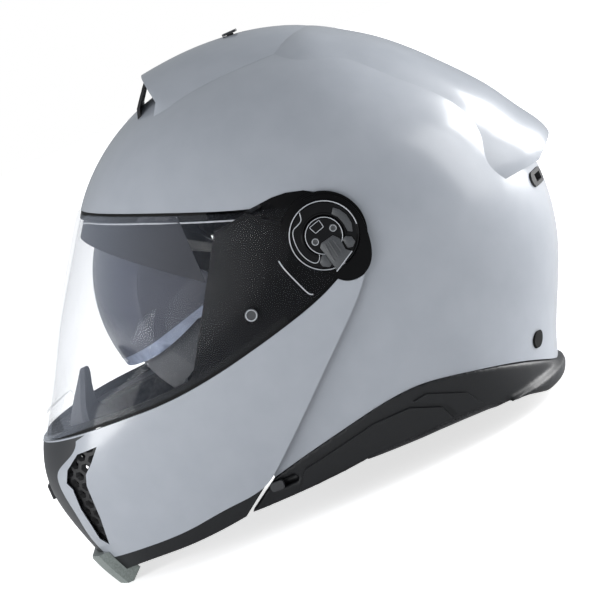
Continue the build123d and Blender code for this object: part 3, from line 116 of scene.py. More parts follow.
# Outlines on the helmet's side, in millimetres along the helmet and up
WINDOW = [(36.8, 156.7), (37.6, 152.2), (32.1, 150.6), (30.2, 154.9)]
SCREW_PLACES = [(42.2, 149.5), (30.0, 146.3)]
RING_SWIRL = [(28.6, 165.0), (28.2, 162.3), (27.6, 160.0), (24.5, 158.4), (21.6, 157.6), (19.8, 154.4),
              (19.2, 148.4), (19.9, 143.2), (22.2, 138.0), (25.6, 134.6), (28.8, 136.4), (29.4, 140.1)]
RING_GLAZED_ARC = [(46.7, 159.8), (49.6, 157.3), (52.0, 153.0), (52.7, 147.7), (51.3, 143.0),
                   (48.9, 144.4), (48.3, 150.0), (47.0, 153.9), (44.4, 156.6)]
LEVER_PLATE = [(40.6, 145.9), (43.4, 142.5), (43.7, 136.0), (46.9, 133.4), (34.6, 126.2), (34.4, 129.1),
               (33.6, 131.7), (32.5, 137.3), (31.1, 142.2), (32.7, 144.4)]
LEVER_RIBS = [[(34.5, 143.3), (35.6, 132.2)], [(37.1, 143.8), (38.6, 133.8)],
              [(39.7, 143.4), (41.4, 135.4)]]
LEVER_END_BAR = [(34.3, 126.5), (46.7, 133.5)]
LEVER_WINGS = [[(44.4, 141.4), (46.6, 142.6), (49.7, 141.0), (50.5, 137.6), (48.1, 135.4), (45.2, 136.0)],
               [(31.2, 138.9), (32.3, 137.4), (33.0, 134.5), (33.4, 131.2), (31.6, 130.3), (28.2, 132.2),
                (27.6, 134.8)]]
SIDE_RIB = [(7.0, 144.7), (7.3, 141.7), (9.0, 136.2), (11.6, 129.2), (13.9, 123.1), (15.4, 120.3),
            (17.0, 119.9)]
PIVOT_TAB = [(-0.5, 176.8), (7.7, 177.4), (17.2, 178.1), (25.4, 177.5), (35.2, 174.7), (42.4, 170.3),
             (40.3, 164.2), (33.2, 166.1), (26.7, 165.3), (20.9, 161.8), (17.6, 162.6), (8.0, 170.0)]
LENS_PIN = (-19.5, 122.9)
CORNER_SHARES = (0.04, 0.5, 0.96)

# Profiles of the turned pieces, as radius and lateral place in millimetres, and the steps of their turn
RING_PROFILE = [(11.3, 123.1), (11.3, 124.3), (11.7, 124.7), (12.5, 124.7), (12.8, 124.3), (18.3, 124.2),
                (18.7, 124.8), (19.4, 124.8), (19.8, 124.4), (19.8, 123.1)]
DISC_PROFILE = [(0.0, 123.0), (0.0, 126.2), (9.6, 126.2), (10.0, 126.6), (10.7, 126.6), (11.0, 126.2),
                (11.0, 123.0)]
SCREW_PROFILE = [(0.0, 126.0), (0.0, 126.35), (0.7, 126.35), (0.9, 126.7), (1.9, 126.7), (2.2, 126.4),
                 (2.2, 126.0)]
HUB_STEPS = 96
SCREW_STEPS = 24
LENS_PIN_STEPS = 40

# Profile of a lens pin, as radius and rise above the visor's outer face, and the rise of its rim
LENS_PIN_PROFILE = [(0.0, -0.4), (0.0, 0.35), (2.3, 0.35), (2.7, 0.75), (3.3, 0.75), (3.7, 0.3),
                    (3.7, -0.4)]
LENS_PIN_RIM_RISE = 0.75

# Rims: radius, first and last angle in degrees, steps
RING_RIM_ARC = (19.3, -4, 284, 60)
DISC_RIM_ARC = (10.35, 0, 354, 48)
SCREW_RIM_ARC = (1.75, 0, 345, 20)
LENS_PIN_RIM_ARC = (3.05, 0, 350, 30)

# Lateral places of the hub's beads, and the two places that each plate lies between
RING_RIM_LATERAL = 124.75
RING_SWIRL_LATERAL = 124.5
DISC_RIM_LATERAL = 126.6
WINDOW_LATERAL = 126.25
SCREW_RIM_LATERAL = 126.7
LEVER_RIB_LATERAL = 127.2
LEVER_END_BAR_LATERAL = 127.0
RING_GLAZED_SPAN = (124.0, 124.7)
LEVER_SPAN = (125.9, 127.2)
LEVER_WING_SPAN = (125.9, 126.8)

# How far the tab lies below and above the shell's face, and the side rib's middle below the visor's
PIVOT_TAB_SPAN = (-1.5, 0.45)
SIDE_RIB_DEPTH = 0.1

# Edge rounding of the plates, and radii of the beads
RING_GLAZED_ROUND = 0.2
LEVER_ROUND = 0.4
LEVER_WING_ROUND = 0.35
RING_RIM_BEAD = 0.28
RING_SWIRL_BEAD = 0.26
DISC_RIM_BEAD = 0.22
WINDOW_BEAD = 0.2
SCREW_RIM_BEAD = 0.16
LEVER_RIB_BEAD = 0.5
LEVER_END_BAR_BEAD = 0.34
SIDE_RIB_BEAD = 0.36
LENS_PIN_RIM_BEAD = 0.3
BROW_BEAD = 0.55

# Brow, from the rear to the front in the side view, and where its pale bead runs behind the visor, which paints
# the highlight on the gasket's bulge
BROW_LINE = [(15.6, 174.0), (0.7, 178.0), (-28.4, 188.1), (-59.3, 199.0), (-91.2, 209.1)]
BROW_BEAD_START = -6
BROW_BEAD_SPACING = 3.8
BROW_BEAD_STEPS = 24
BROW_BEAD_DROP = 6.5
BROW_BEAD_BACK = 1.5
BROW_BEAD_DEPTH = 4.5

# Sheets copied from the visors, as shares of their reach from the pivot and of their width
BAND_REACH_SHARE = 1.002
BAND_WIDTH_SHARE = 1.005
INNER_BROW_REACH_SHARE = 0.966
INNER_BROW_WIDTH_SHARE = 0.972
LINING_SHARE = 0.93
LINING_DROP_ANGLE = radians(-22)

# Planes that cut these sheets: a place on each, and the direction that is kept
BAND_CUT = ((-0.095, 0, 0.1235), (0.24, 0, -0.97))
INNER_BROW_LOWER_CUT = ((-0.095, 0, 0.192), (0.588, 0, 0.809))
INNER_BROW_REAR_CUT = ((-0.036, 0, 0.192), (-1, 0, 0))
LINING_CUTS = {name: ((-0.100, side * 0.055, 0.1), (0.75, side * 0.66, 0)) for name, side in SIDES.items()}

# Where the flare of the base trim starts, how soon it is full, and how its lower edge rises
TRIM_VOXEL = 0.0011
REAR_TRIM_START = 0.078
REAR_TRIM_BLEND = 0.025
REAR_TRIM_LIFT = 0.006
REAR_TRIM_TOP = 0.020

# The flare is smoothed from just behind its start, and the rest of the trim by a small share of that
FLARE_SMOOTH_SHIFT = 0.004
FLARE_SMOOTH_STEPS = 60
TRIM_SMOOTH_SHARE = 0.03

# CAD nodes that show a finer finish than their slot's own
FINISH_NODES = {
    "plate_black": ["side_frame_left", "side_frame_right", "arm_cap_left", "arm_cap_right"],
    "curtain_grey": ["chin_curtain"],
    "trim_black": ["base_trim", "chin_trim", "intercom_cover_left", "intercom_cover_right", "rim_cover_left",
                   "rim_cover_right"],
}
FINISH_OF = {node: finish for finish, nodes in FINISH_NODES.items() for node in nodes}


def aim_camera():
    roll, rise = CAMERA_ROLL_ANGLE, CAMERA_RISE_ANGLE
    right = Vector((cos(roll), 0, -sin(roll)))
    back = Vector((sin(roll) * sin(rise), -cos(rise), cos(roll) * sin(rise)))
    up = back.cross(right)
    data = bpy.data.cameras.new("camera")
    data.lens = CAMERA_LENS
    data.sensor_width = SENSOR_WIDTH
    data.clip_end = CAMERA_CLIP_END
    camera = bpy.data.objects.new("camera", data)
    bpy.context.scene.collection.objects.link(camera)
    turn = Matrix((right, up, back)).transposed()
    camera.matrix_world = Matrix.Translation(CAMERA_TARGET + back * CAMERA_DISTANCE) @ turn.to_4x4()
    bpy.context.scene.camera = camera


def add_light(name, place, size, power):
    data = bpy.data.lights.new(name, "AREA")
    data.shape = "RECTANGLE"
    data.size, data.size_y = size
    data.energy = power
    light = bpy.data.objects.new(name, data)
    bpy.context.scene.collection.objects.link(light)
    direction = CAMERA_TARGET - Vector(place)
    turn = direction.to_track_quat("-Z", "Y").to_matrix().to_4x4()
    light.matrix_world = Matrix.Translation(place) @ turn


def backdrop_rays(nodes, links):
    """1 for what is seen of a backdrop, also through glass, and 0 for the light that it gives off."""
    path = nodes.new("ShaderNodeLightPath")
    seen = nodes.new("ShaderNodeMath")
    seen.operation = "MAXIMUM"
    links.new(path.outputs["Is Camera Ray"], seen.inputs[0])
    links.new(path.outputs["Is Transmission Ray"], seen.inputs[1])
    return seen.outputs[0]


def make_world():
    """Plain white surroundings that give off a dimmer and cooler light."""
    world = bpy.data.worlds.new("studio")
    bpy.context.scene.world = world
    world.use_nodes = True
    nodes, links = world.node_tree.nodes, world.node_tree.links
    nodes.clear()
    output = nodes.new("ShaderNodeOutputWorld")
    seen = nodes.new("ShaderNodeBackground")
    seen.inputs["Color"].default_value = WHITE
    seen.inputs["Strength"].default_value = 1.0
    given = nodes.new("ShaderNodeBackground")
    given.inputs["Color"].default_value = SURROUNDINGS_COLOR
    given.inputs["Strength"].default_value = SURROUNDINGS_STRENGTH
    mix = nodes.new("ShaderNodeMixShader")
    links.new(backdrop_rays(nodes, links), mix.inputs["Fac"])
    links.new(given.outputs[0], mix.inputs[1])
    links.new(seen.outputs[0], mix.inputs[2])
    links.new(mix.outputs[0], output.inputs["Surface"])


def new_material(name, color, roughness):
    material = bpy.data.materials.new(name)
    material.use_nodes = True
    nodes, links = material.node_tree.nodes, material.node_tree.links
    shader = next(node for node in nodes if node.type == "BSDF_PRINCIPLED")
    shader.inputs["Base Color"].default_value = (*color, 1)
    shader.inputs["Roughness"].default_value = roughness
    return material, nodes, links, shader


def object_noise(nodes, links, scale, detail):
    place = nodes.new("ShaderNodeTexCoord")
    noise = nodes.new("ShaderNodeTexNoise")
    noise.inputs["Scale"].default_value = scale
    noise.inputs["Detail"].default_value = detail
    links.new(place.outputs["Object"], noise.inputs["Vector"])
    return noise.outputs["Fac"]


def object_cells(nodes, links, scale):
    place = nodes.new("ShaderNodeTexCoord")
    cells = nodes.new("ShaderNodeTexVoronoi")
    cells.inputs["Scale"].default_value = scale
    links.new(place.outputs["Object"], cells.inputs["Vector"])
    return cells.outputs["Distance"]


def scaled(color, share):
    return tuple(channel * share for channel in color)


def color_spread(nodes, links, source, shader, low, high, start=0.35, end=0.65):
    ramp = nodes.new("ShaderNodeValToRGB")
    ramp.color_ramp.elements[0].position = start
    ramp.color_ramp.elements[0].color = (*low, 1)
    ramp.color_ramp.elements[1].position = end
    ramp.color_ramp.elements[1].color = (*high, 1)
    links.new(source, ramp.inputs["Fac"])
    links.new(ramp.outputs["Color"], shader.inputs["Base Color"])


def add_bump(nodes, links, source, shader, strength, distance):
    bump = nodes.new("ShaderNodeBump")
    bump.inputs["Strength"].default_value = strength
    bump.inputs["Distance"].default_value = distance
    links.new(source, bump.inputs["Height"])
    links.new(bump.outputs["Normal"], shader.inputs["Normal"])


def gloss_paint():
    """Paint with a faint flake, under a clear coat with a fine ripple."""
    material, nodes, links, shader = new_material("gloss_paint", (0.40, 0.425, 0.47), 0.34)
    shader.inputs["Coat Weight"].default_value = 0.7
    shader.inputs["Coat Roughness"].default_value = 0.16
    flake = object_noise(nodes, links, scale=60, detail=3)
    color_spread(nodes, links, flake, shader, (0.390, 0.415, 0.460), (0.410, 0.435, 0.480))
    ripple = object_noise(nodes, links, scale=350, detail=1)
    add_bump(nodes, links, ripple, shader, strength=0.03, distance=0.0002)
    return material


def moulded_plastic(name, color, roughness, grain_size=2500, grain=0.15, shine=0.5):
    material, nodes, links, shader = new_material(name, color, roughness)
    shader.inputs["Specular IOR Level"].default_value = shine
    noise = object_noise(nodes, links, grain_size, detail=2)
    color_spread(nodes, links, noise, shader, scaled(color, 0.85), scaled(color, 1.15))
    add_bump(nodes, links, noise, shader, grain, distance=0.0002)
    return material


def lens(name, tint, alpha_front, alpha_edge, roughness=0.02):
    """Coated polycarbonate: clearest when seen straight on, denser at its edges."""
    material, nodes, links, shader = new_material(name, tint, roughness)
    shader.inputs["IOR"].default_value = 1.58
    shader.inputs["Coat Weight"].default_value = 1.0
    shader.inputs["Coat Roughness"].default_value = roughness
    facing = nodes.new("ShaderNodeLayerWeight")
    facing.inputs["Blend"].default_value = 0.35
    spread = nodes.new("ShaderNodeMapRange")
    spread.inputs["To Min"].default_value = alpha_front
    spread.inputs["To Max"].default_value = alpha_edge
    links.new(facing.outputs["Facing"], spread.inputs["Value"])
    links.new(spread.outputs["Result"], shader.inputs["Alpha"])
    return material


def make_highlight_plastic(name, color):
    """Pale plastic that paints the highlight that an edge catches, paler than the part that it lies on."""
    material, nodes, links, shader = new_material(name, color, 0.16)
    noise = object_noise(nodes, links, scale=240, detail=2)
    color_spread(nodes, links, noise, shader, scaled(color, 0.8), color)
    shader.inputs["Coat Weight"].default_value = 0.6
    return material


def brushed_steel():
    material, nodes, links, shader = new_material("brushed_steel", (0.56, 0.56, 0.58), 0.3)
    shader.inputs["Metallic"].default_value = 1.0
    noise = object_noise(nodes, links, scale=900, detail=2)
    color_spread(nodes, links, noise, shader, (0.50, 0.50, 0.52), (0.62, 0.62, 0.64))
    add_bump(nodes, links, noise, shader, strength=0.1, distance=0.0001)
    return material


def bead_foam():
    material, nodes, links, shader = new_material("bead_foam", (0.05, 0.05, 0.055), 0.9)
    beads = object_cells(nodes, links, scale=320)
    color_spread(nodes, links, beads, shader, (0.07, 0.07, 0.075), (0.03, 0.03, 0.033), start=0.1, end=0.7)
    add_bump(nodes, links, beads, shader, strength=0.5, distance=0.0008)
    return material


def knit_fabric(name, dark, light, thread=900):
    material, nodes, links, shader = new_material(name, light, 0.95)
    shader.inputs["Sheen Weight"].default_value = 0.25
    shader.inputs["Sheen Roughness"].default_value = 0.5
    weave = object_cells(nodes, links, thread)
    color_spread(nodes, links, weave, shader, light, dark, start=0.1, end=0.7)
    add_bump(nodes, links, weave, shader, strength=0.6, distance=0.0006)
    return material


def build_materials():
    return {
        "paint": gloss_paint(),
        "satin_black": moulded_plastic("satin_black_plastic", (0.026, 0.027, 0.030), roughness=0.42),
        "plate_black": moulded_plastic("side_plate_plastic", (0.0025, 0.0025, 0.003), roughness=0.3,
                                       grain_size=1500, grain=0.0, shine=0.12),
        "trim_black": moulded_plastic("trim_plastic", (0.013, 0.0135, 0.015), roughness=0.42, shine=0.35),
        "curtain_grey": moulded_plastic("curtain_film", (0.24, 0.27, 0.255), roughness=0.3,
                                        grain_size=1200, grain=0.05),
        "hub_black": moulded_plastic("gloss_black_plastic", (0.004, 0.004, 0.005), roughness=0.2,
                                     grain_size=1500, grain=0.0, shine=0.22),
        "hub_grey": moulded_plastic("dark_grey_plastic", (0.075, 0.078, 0.084), roughness=0.30,
                                    grain_size=1500, grain=0.05),
        "grille_black": moulded_plastic("grille_plastic", (0.012, 0.012, 0.013), roughness=0.55),
        "black_rubber": moulded_plastic("black_rubber", (0.006, 0.006, 0.006), roughness=0.6,
                                        grain_size=1800, grain=0.2, shine=0.2),
        "grey_soft": moulded_plastic("grey_soft_plastic", (0.115, 0.118, 0.130), roughness=0.6,
                                     grain_size=1800, grain=0.2),
        "red_plastic": moulded_plastic("red_plastic", (0.40, 0.02, 0.015), roughness=0.35),
        "tongue_plastic": moulded_plastic("strap_tongue_plastic", (0.06, 0.06, 0.06), roughness=0.4),
        "clear_lens": lens("clear_lens", (0.52, 0.57, 0.68), alpha_front=0.002, alpha_edge=0.30),
        "smoked_lens": lens("smoked_lens", (0.072, 0.078, 0.112), alpha_front=0.80, alpha_edge=0.95,
                            roughness=0.22),
        # Pale plastic for the beads along edges: painted highlights
        "highlight_beads": make_highlight_plastic("pale_highlight_plastic", (0.60, 0.62, 0.66)),
        # Pale band along the sun visor's lower edge: a painted highlight
        "edge_band_highlight": make_highlight_plastic("sun_visor_highlight_band", (0.34, 0.39, 0.52)),
        "brow_liner": moulded_plastic("inner_brow_plastic", (0.034, 0.035, 0.043), roughness=0.5,
                                      grain=0.05, shine=0.2),
        "port_lining": knit_fabric("port_lining_fabric", (0.085, 0.090, 0.100), (0.125, 0.130, 0.142),
                                   thread=1300),
        "steel": brushed_steel(),
        "foam": bead_foam(),
        "lining": knit_fabric("lining_fabric", (0.012, 0.012, 0.013), (0.045, 0.045, 0.048)),
        "neck_fabric": knit_fabric("neck_fabric", (0.015, 0.015, 0.017), (0.050, 0.050, 0.055), thread=1100),
        "webbing": knit_fabric("strap_webbing", (0.008, 0.008, 0.008), (0.025, 0.025, 0.025), thread=1500),
    }


def dress_nodes():
    """Each CAD node takes the finish of its slot, or its own finer one."""
    for subpart in frame["record"]["subparts"]:
        node = NODES[subpart["node"]]
        node.data.materials.clear()
        finish = FINISH_OF.get(subpart["node"], subpart["material_slot"])
        node.data.materials.append(MATERIALS[finish])


def select_only(piece):
    bpy.ops.object.select_all(action="DESELECT")
    piece.select_set(True)
    bpy.context.view_layer.objects.active = piece


def apply_modifier(piece, kind, name, **settings):
    select_only(piece)
    modifier = piece.modifiers.new(name, kind)
    for key, value in settings.items():
        setattr(modifier, key, value)
    bpy.ops.object.modifier_apply(modifier=modifier.name)


def solid_copy(node, name):
    """A closed copy of a CAD node's mesh, with its doubled corners merged."""
    piece = bpy.data.objects.new(name, NODES[node].data.copy())
    bpy.context.scene.collection.objects.link(piece)
    select_only(piece)
    bpy.ops.object.mode_set(mode="EDIT")
    bpy.ops.mesh.select_all(action="SELECT")
    bpy.ops.mesh.remove_doubles(threshold=COPY_MERGE)
    bpy.ops.object.mode_set(mode="OBJECT")
    return piece


def finish_piece(piece, node, body, finish, smooth_angle=SMOOTH_ANGLE):
    """Gives a piece its finish and its body, and hides the CAD node that it replaces, if any."""
    piece.data.materials.clear()
    piece.data.materials.append(MATERIALS[finish])
    select_only(piece)
    bpy.ops.object.shade_smooth_by_angle(angle=smooth_angle)
    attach(piece, body)
    if node:
        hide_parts(node)


def plump(piece, shrink, pressure, cap):
    """Soft padding: the remeshed solid is filled with air as cloth, and no point moves past the cap."""
    apply_modifier(piece, "REMESH", "even mesh", mode="VOXEL", voxel_size=PAD_VOXEL)
    apply_modifier(piece, "SMOOTH", "round edges", factor=0.5, iterations=6)
    apply_modifier(piece, "DISPLACE", "shrink", strength=-shrink, mid_level=0.0)
    rest = [vertex.co.copy() for vertex in piece.data.vertices]
    select_only(piece)
    cloth = piece.modifiers.new("padding", "CLOTH")
    cloth.settings.use_pressure = True
    cloth.settings.uniform_pressure_force = pressure
    cloth.settings.effector_weights.gravity = 0
    for step in range(1, PAD_FILLING_STEPS + 1):
        bpy.context.scene.frame_set(step)
    shaped = piece.evaluated_get(bpy.context.evaluated_depsgraph_get())
    moved = [vertex.co.copy() for vertex in shaped.data.vertices]
    piece.modifiers.remove(cloth)
    bpy.context.scene.frame_set(1)
    for vertex, start, end in zip(piece.data.vertices, rest, moved):
        offset = end - start
        if offset.length > cap:
            offset = offset.normalized() * cap
        vertex.co = start + offset


def sew(piece, distance_to_seam, depth, width):
    """Sewn channels: points near a seam are drawn in along their normals."""
    piece.data.update()
    normals = [vertex.normal.copy() for vertex in piece.data.vertices]
    for vertex, normal in zip(piece.data.vertices, normals):
        distance = distance_to_seam(vertex.co)
        vertex.co -= normal * depth * exp(-(distance / width) ** 2)


def crown_seam_distance(place):
    return min(abs(abs(place.y) - CROWN_SEAM_LATERAL), abs(place.x - PIVOT.x))


def cheek_seam_distance(place):
    return abs(place.z - CHEEK_SEAM_HEIGHT + CHEEK_SEAM_FALL * (place.x - CHEEK_SEAM_PLACE))


def roll_seam_distance(place):
    return abs(place.z - ROLL_SEAM_HEIGHT)


def add_pad(node, name, finish, filling, seam_distance, seam):
    pad = solid_copy(node, name)
    plump(pad, **filling)
    apply_modifier(pad, "SUBSURF", "soften", levels=1, render_levels=1)
    sew(pad, seam_distance, **seam)
    finish_piece(pad, node, "helmet", finish)


def add_padding():
    add_pad("crown_pad", "crown_padding", "lining", CROWN_FILLING, crown_seam_distance, CROWN_SEAM)
    for name in SIDES:
        add_pad("cheek_pad_" + name, "cheek_padding_" + name, "lining", CHEEK_FILLING, cheek_seam_distance,
                CHEEK_SEAM)
    add_pad("neck_roll", "neck_padding", "neck_fabric", ROLL_FILLING, roll_seam_distance, ROLL_SEAM)


def strap_path(low, high):
    """The middle line of a strap, as lateral place and height: down, round the bend and inwards."""
    outer = max(abs(low.y), abs(high.y))
    inner_end = min(abs(low.y), abs(high.y))
    middle_radius = STRAP_BEND_RADIUS - STRAP_WALL / 2
    bend_lateral = outer - STRAP_BEND_RADIUS
    bend_height = low.z + STRAP_BEND_RADIUS
    path = [(outer - STRAP_WALL / 2, high.z), (outer - STRAP_WALL / 2, bend_height)]
    for step in range(1, STRAP_BEND_STEPS + 1):
        angle = radians(90 * step / STRAP_BEND_STEPS)
        path.append((bend_lateral + middle_radius * cos(angle), bend_height - middle_radius * sin(angle)))
    path.append((inner_end, low.z + STRAP_WALL / 2))
    return path


def lone_edge(name, start, end):
    """A mesh of one edge, selected and in edit mode, for a strip to be drawn from."""
    bpy.ops.object.select_all(action="DESELECT")
    bpy.ops.mesh.primitive_plane_add(size=1)
    piece = bpy.context.object
    piece.name = name
    bpy.ops.object.mode_set(mode="EDIT")
    bpy.ops.mesh.delete(type="ONLY_FACE")
    bpy.ops.object.mode_set(mode="OBJECT")
    mesh = piece.data
    keep = mesh.edges[0].vertices[:]
    for index, corner in zip(keep, (start, end)):
        mesh.vertices[index].co = corner
    for vertex in mesh.vertices:
        vertex.select = vertex.index not in keep
    for edge in mesh.edges:
        edge.select = all(index not in keep for index in edge.vertices)
    bpy.ops.object.mode_set(mode="EDIT")
    bpy.ops.mesh.select_mode(type="VERT")
    bpy.ops.mesh.delete(type="VERT")
    bpy.ops.mesh.select_all(action="SELECT")
    return piece


def add_straps():
    """Webbing bands: a strip drawn down from its rivet, round a bend and inwards under the rim."""
    for name, side in SIDES.items():
        low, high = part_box("chin_strap_" + name)
        path = strap_path(low, high)
        start_y, start_z = path[0]
        strap = lone_edge("strap_webbing_" + name, (low.x, side * start_y, start_z),
                          (high.x, side * start_y, start_z))
        for (y0, z0), (y1, z1) in zip(path, path[1:]):
            bpy.ops.mesh.extrude_region_move(
                TRANSFORM_OT_translate={"value": (0, side * (y1 - y0), z1 - z0)})
        bpy.ops.object.mode_set(mode="OBJECT")
        apply_modifier(strap, "SOLIDIFY", "webbing", thickness=STRAP_WALL, offset=0)
        apply_modifier(strap, "BEVEL", "selvedge", width=STRAP_WALL * SELVEDGE_SHARE, segments=3)
        finish_piece(strap, "chin_strap_" + name, "helmet", "webbing")


def plate(name, outline, span, side, round_edge):
    """A flat plate on the helmet's side, between the two lateral places of its span, in millimetres."""
    low, high = span
    bpy.ops.object.select_all(action="DESELECT")
    bpy.ops.mesh.primitive_circle_add(vertices=len(outline), fill_type="NGON")
    piece = bpy.context.object
    piece.name = name
    for vertex, (x, z) in zip(piece.data.vertices, outline):
        vertex.co = (x * MM, side * low * MM, z * MM)
    bpy.ops.object.mode_set(mode="EDIT")
    bpy.ops.mesh.select_all(action="SELECT")
    bpy.ops.mesh.extrude_region_move(TRANSFORM_OT_translate={"value": (0, side * (high - low) * MM, 0)})
    bpy.ops.mesh.select_all(action="SELECT")
    bpy.ops.mesh.normals_make_consistent(inside=False)
    bpy.ops.object.mode_set(mode="OBJECT")
    if round_edge:
        apply_modifier(piece, "BEVEL", "round edges", width=round_edge * MM, segments=2,
                       limit_method="ANGLE")
    return piece


def turned(name, profile, side, centre, steps):
    """A turned piece about a lateral line: its closed profile is given as radius and lateral place."""
    bpy.ops.object.select_all(action="DESELECT")
    bpy.ops.mesh.primitive_circle_add(vertices=len(profile), fill_type="NOTHING")
    piece = bpy.context.object
    piece.name = name
    for vertex, (radius, lateral) in zip(piece.data.vertices, profile):
        vertex.co = ((centre[0] + radius) * MM, side * lateral * MM, centre[1] * MM)
    bpy.ops.object.mode_set(mode="EDIT")
    bpy.ops.mesh.select_all(action="SELECT")
    middle = (centre[0] * MM, 0, centre[1] * MM)
    bpy.ops.mesh.spin(steps=steps, angle=2 * pi, center=middle, axis=(0, 1, 0))
    bpy.ops.mesh.select_all(action="SELECT")
    bpy.ops.mesh.remove_doubles(threshold=TURNED_MERGE)
    bpy.ops.mesh.normals_make_consistent(inside=False)
    bpy.ops.object.mode_set(mode="OBJECT")
    return piece


def bead(name, path, radius, closed=False):
    """A round bead along a path of places in millimetres."""
    curve = bpy.data.curves.new(name, "CURVE")
    curve.dimensions = "3D"
    curve.bevel_depth = radius * MM
    curve.bevel_resolution = 2
    curve.use_fill_caps = True
    spline = curve.splines.new("NURBS")
    spline.points.add(len(path) - 1)
    for point, (x, y, z) in zip(spline.points, path):
        point.co = (x * MM, y * MM, z * MM, 1)
    spline.order_u = 3
    spline.use_endpoint_u = not closed
    spline.use_cyclic_u = closed
    spline.resolution_u = 6
    piece = bpy.data.objects.new(name, curve)
    bpy.context.scene.collection.objects.link(piece)
    select_only(piece)
    bpy.ops.object.convert(target="MESH")
    return bpy.context.object


def lateral_of(node, x, z, side):
    """Lateral place of a node's outer face at a place in the side view, in millimetres."""
    start = Vector((x * MM, side * RAY_START_LATERAL, z * MM))
    hit, place, _, _ = NODES[node].ray_cast(start, Vector((0, -side, 0)))
    return abs(place.y) / MM if hit else None


def draped(name, outline, node, span, side):
    """A plate that follows the outer face of a node, from below it to above it, in millimetres."""
    low, high = span
    piece = plate(name, outline, (0, 1), side, 0)
    usual = max(lateral_of(node, x, z, side) or 0 for x, z in outline)
    select_only(piece)
    bpy.ops.object.mode_set(mode="EDIT")
    bpy.ops.mesh.select_all(action="SELECT")
    bpy.ops.mesh.quads_convert_to_tris()
    bpy.ops.mesh.subdivide(number_cuts=3)
    bpy.ops.object.mode_set(mode="OBJECT")
    for vertex in piece.data.vertices:
        share = abs(vertex.co.y) / MM
        lateral = lateral_of(node, vertex.co.x / MM, vertex.co.z / MM, side) or usual
        vertex.co.y = side * (lateral + low + (high - low) * share) * MM
    return piece


def arc(centre, rim, lateral):
    """Places along a rim, which is given as radius, first angle, last angle and steps."""
    radius, start, stop, steps = rim
    places = []
    for step in range(steps + 1):
        angle = radians(start + (stop - start) * step / steps)
        places.append((centre[0] + radius * cos(angle), lateral, centre[1] + radius * sin(angle)))
    return places


def flat_path(outline, lateral):
    return [(x, lateral, z) for x, z in outline]


def square_path(corners):
    """A closed path with tight corners: each side has a place close to both its ends and one halfway."""
    path = []
    for (x0, z0), (x1, z1) in zip(corners, corners[1:] + corners[:1]):
        for share in CORNER_SHARES:
            path.append((x0 + (x1 - x0) * share, z0 + (z1 - z0) * share))
    return path


def add_visor_ring(name, side):
    """The ring that tilts with the visor, its glazed arc and its two pale lines: beads that paint the highlights
    on the ring's edges.
    """
    ring = turned("visor_ring_" + name, RING_PROFILE, side, HUB, HUB_STEPS)
    finish_piece(ring, "visor_hub_" + name, "face_visor", "hub_black")
    glazed = plate("ring_glazed_arc_" + name, RING_GLAZED_ARC, RING_GLAZED_SPAN, side, RING_GLAZED_ROUND)
    finish_piece(glazed, None, "face_visor", "hub_grey")
    rim = bead("ring_rim_highlight_" + name, arc(HUB, RING_RIM_ARC, side * RING_RIM_LATERAL), RING_RIM_BEAD)
    finish_piece(rim, None, "face_visor", "highlight_beads")
    swirl = bead("ring_swirl_highlight_" + name, flat_path(RING_SWIRL, side * RING_SWIRL_LATERAL), RING_SWIRL_BEAD)
    finish_piece(swirl, None, "face_visor", "highlight_beads")


def add_visor_disc(name, side):
    """The disc that the visor turns on, with its rim, its window and two screws, each edged by a pale bead that
    paints its highlight.
    """
    disc = turned("visor_disc_" + name, DISC_PROFILE, side, HUB, HUB_STEPS)
    finish_piece(disc, "visor_boss_" + name, "chin", "hub_black")
    rim_path = arc(HUB, DISC_RIM_ARC, side * DISC_RIM_LATERAL)
    rim = bead("disc_rim_highlight_" + name, rim_path, DISC_RIM_BEAD, closed=True)
    finish_piece(rim, None, "chin", "highlight_beads")
    window_path = flat_path(square_path(WINDOW), side * WINDOW_LATERAL)
    window = bead("disc_window_highlight_" + name, window_path, WINDOW_BEAD, closed=True)
    finish_piece(window, None, "chin", "highlight_beads")
    for number, place in enumerate(SCREW_PLACES):
        screw = turned("disc_screw_" + name + str(number), SCREW_PROFILE, side, place, SCREW_STEPS)
        finish_piece(screw, None, "chin", "hub_grey")
        screw_path = arc(place, SCREW_RIM_ARC, side * SCREW_RIM_LATERAL)
        screw_rim = bead("screw_rim_highlight_" + name + str(number), screw_path, SCREW_RIM_BEAD, closed=True)
        finish_piece(screw_rim, None, "chin", "highlight_beads")


def add_release_lever(name, side):
    """The quick-release lever: its plate, three finger ribs, two wings and a pale bar at its end that paints a
    highlight.
    """
    body = "lever_" + name
    lever = plate("lever_plate_" + name, LEVER_PLATE, LEVER_SPAN, side, LEVER_ROUND)
    finish_piece(lever, "release_lever_" + name, body, "hub_grey")
    for number, line in enumerate(LEVER_RIBS):
        rib_path = flat_path(line, side * LEVER_RIB_LATERAL)
        rib = bead("lever_rib_" + name + str(number), rib_path, LEVER_RIB_BEAD)
        finish_piece(rib, None, body, "hub_grey")
    for number, outline in enumerate(LEVER_WINGS):
        wing = plate("lever_wing_" + name + str(number), outline, LEVER_WING_SPAN, side, LEVER_WING_ROUND)
        finish_piece(wing, None, body, "hub_grey")
    bar_path = flat_path(LEVER_END_BAR, side * LEVER_END_BAR_LATERAL)
    end_bar = bead("lever_end_highlight_" + name, bar_path, LEVER_END_BAR_BEAD)
    finish_piece(end_bar, None, body, "highlight_beads")


def add_side_rib(name, side):
    """A pale bead on the visor, ahead of the hub, which paints the highlight along a rib."""
    path = [(x, side * (lateral_of("visor", x, z, side) - SIDE_RIB_DEPTH), z) for x, z in SIDE_RIB]
    rib = bead("visor_side_highlight_" + name, path, SIDE_RIB_BEAD)
    finish_piece(rib, None, "face_visor", "highlight_beads")


def add_pivot_tab(name, side):
    """The black tab on the shell, above the hub."""
    tab = draped("pivot_tab_" + name, PIVOT_TAB, "outer_shell", PIVOT_TAB_SPAN, side)
    finish_piece(tab, None, "helmet", "plate_black")


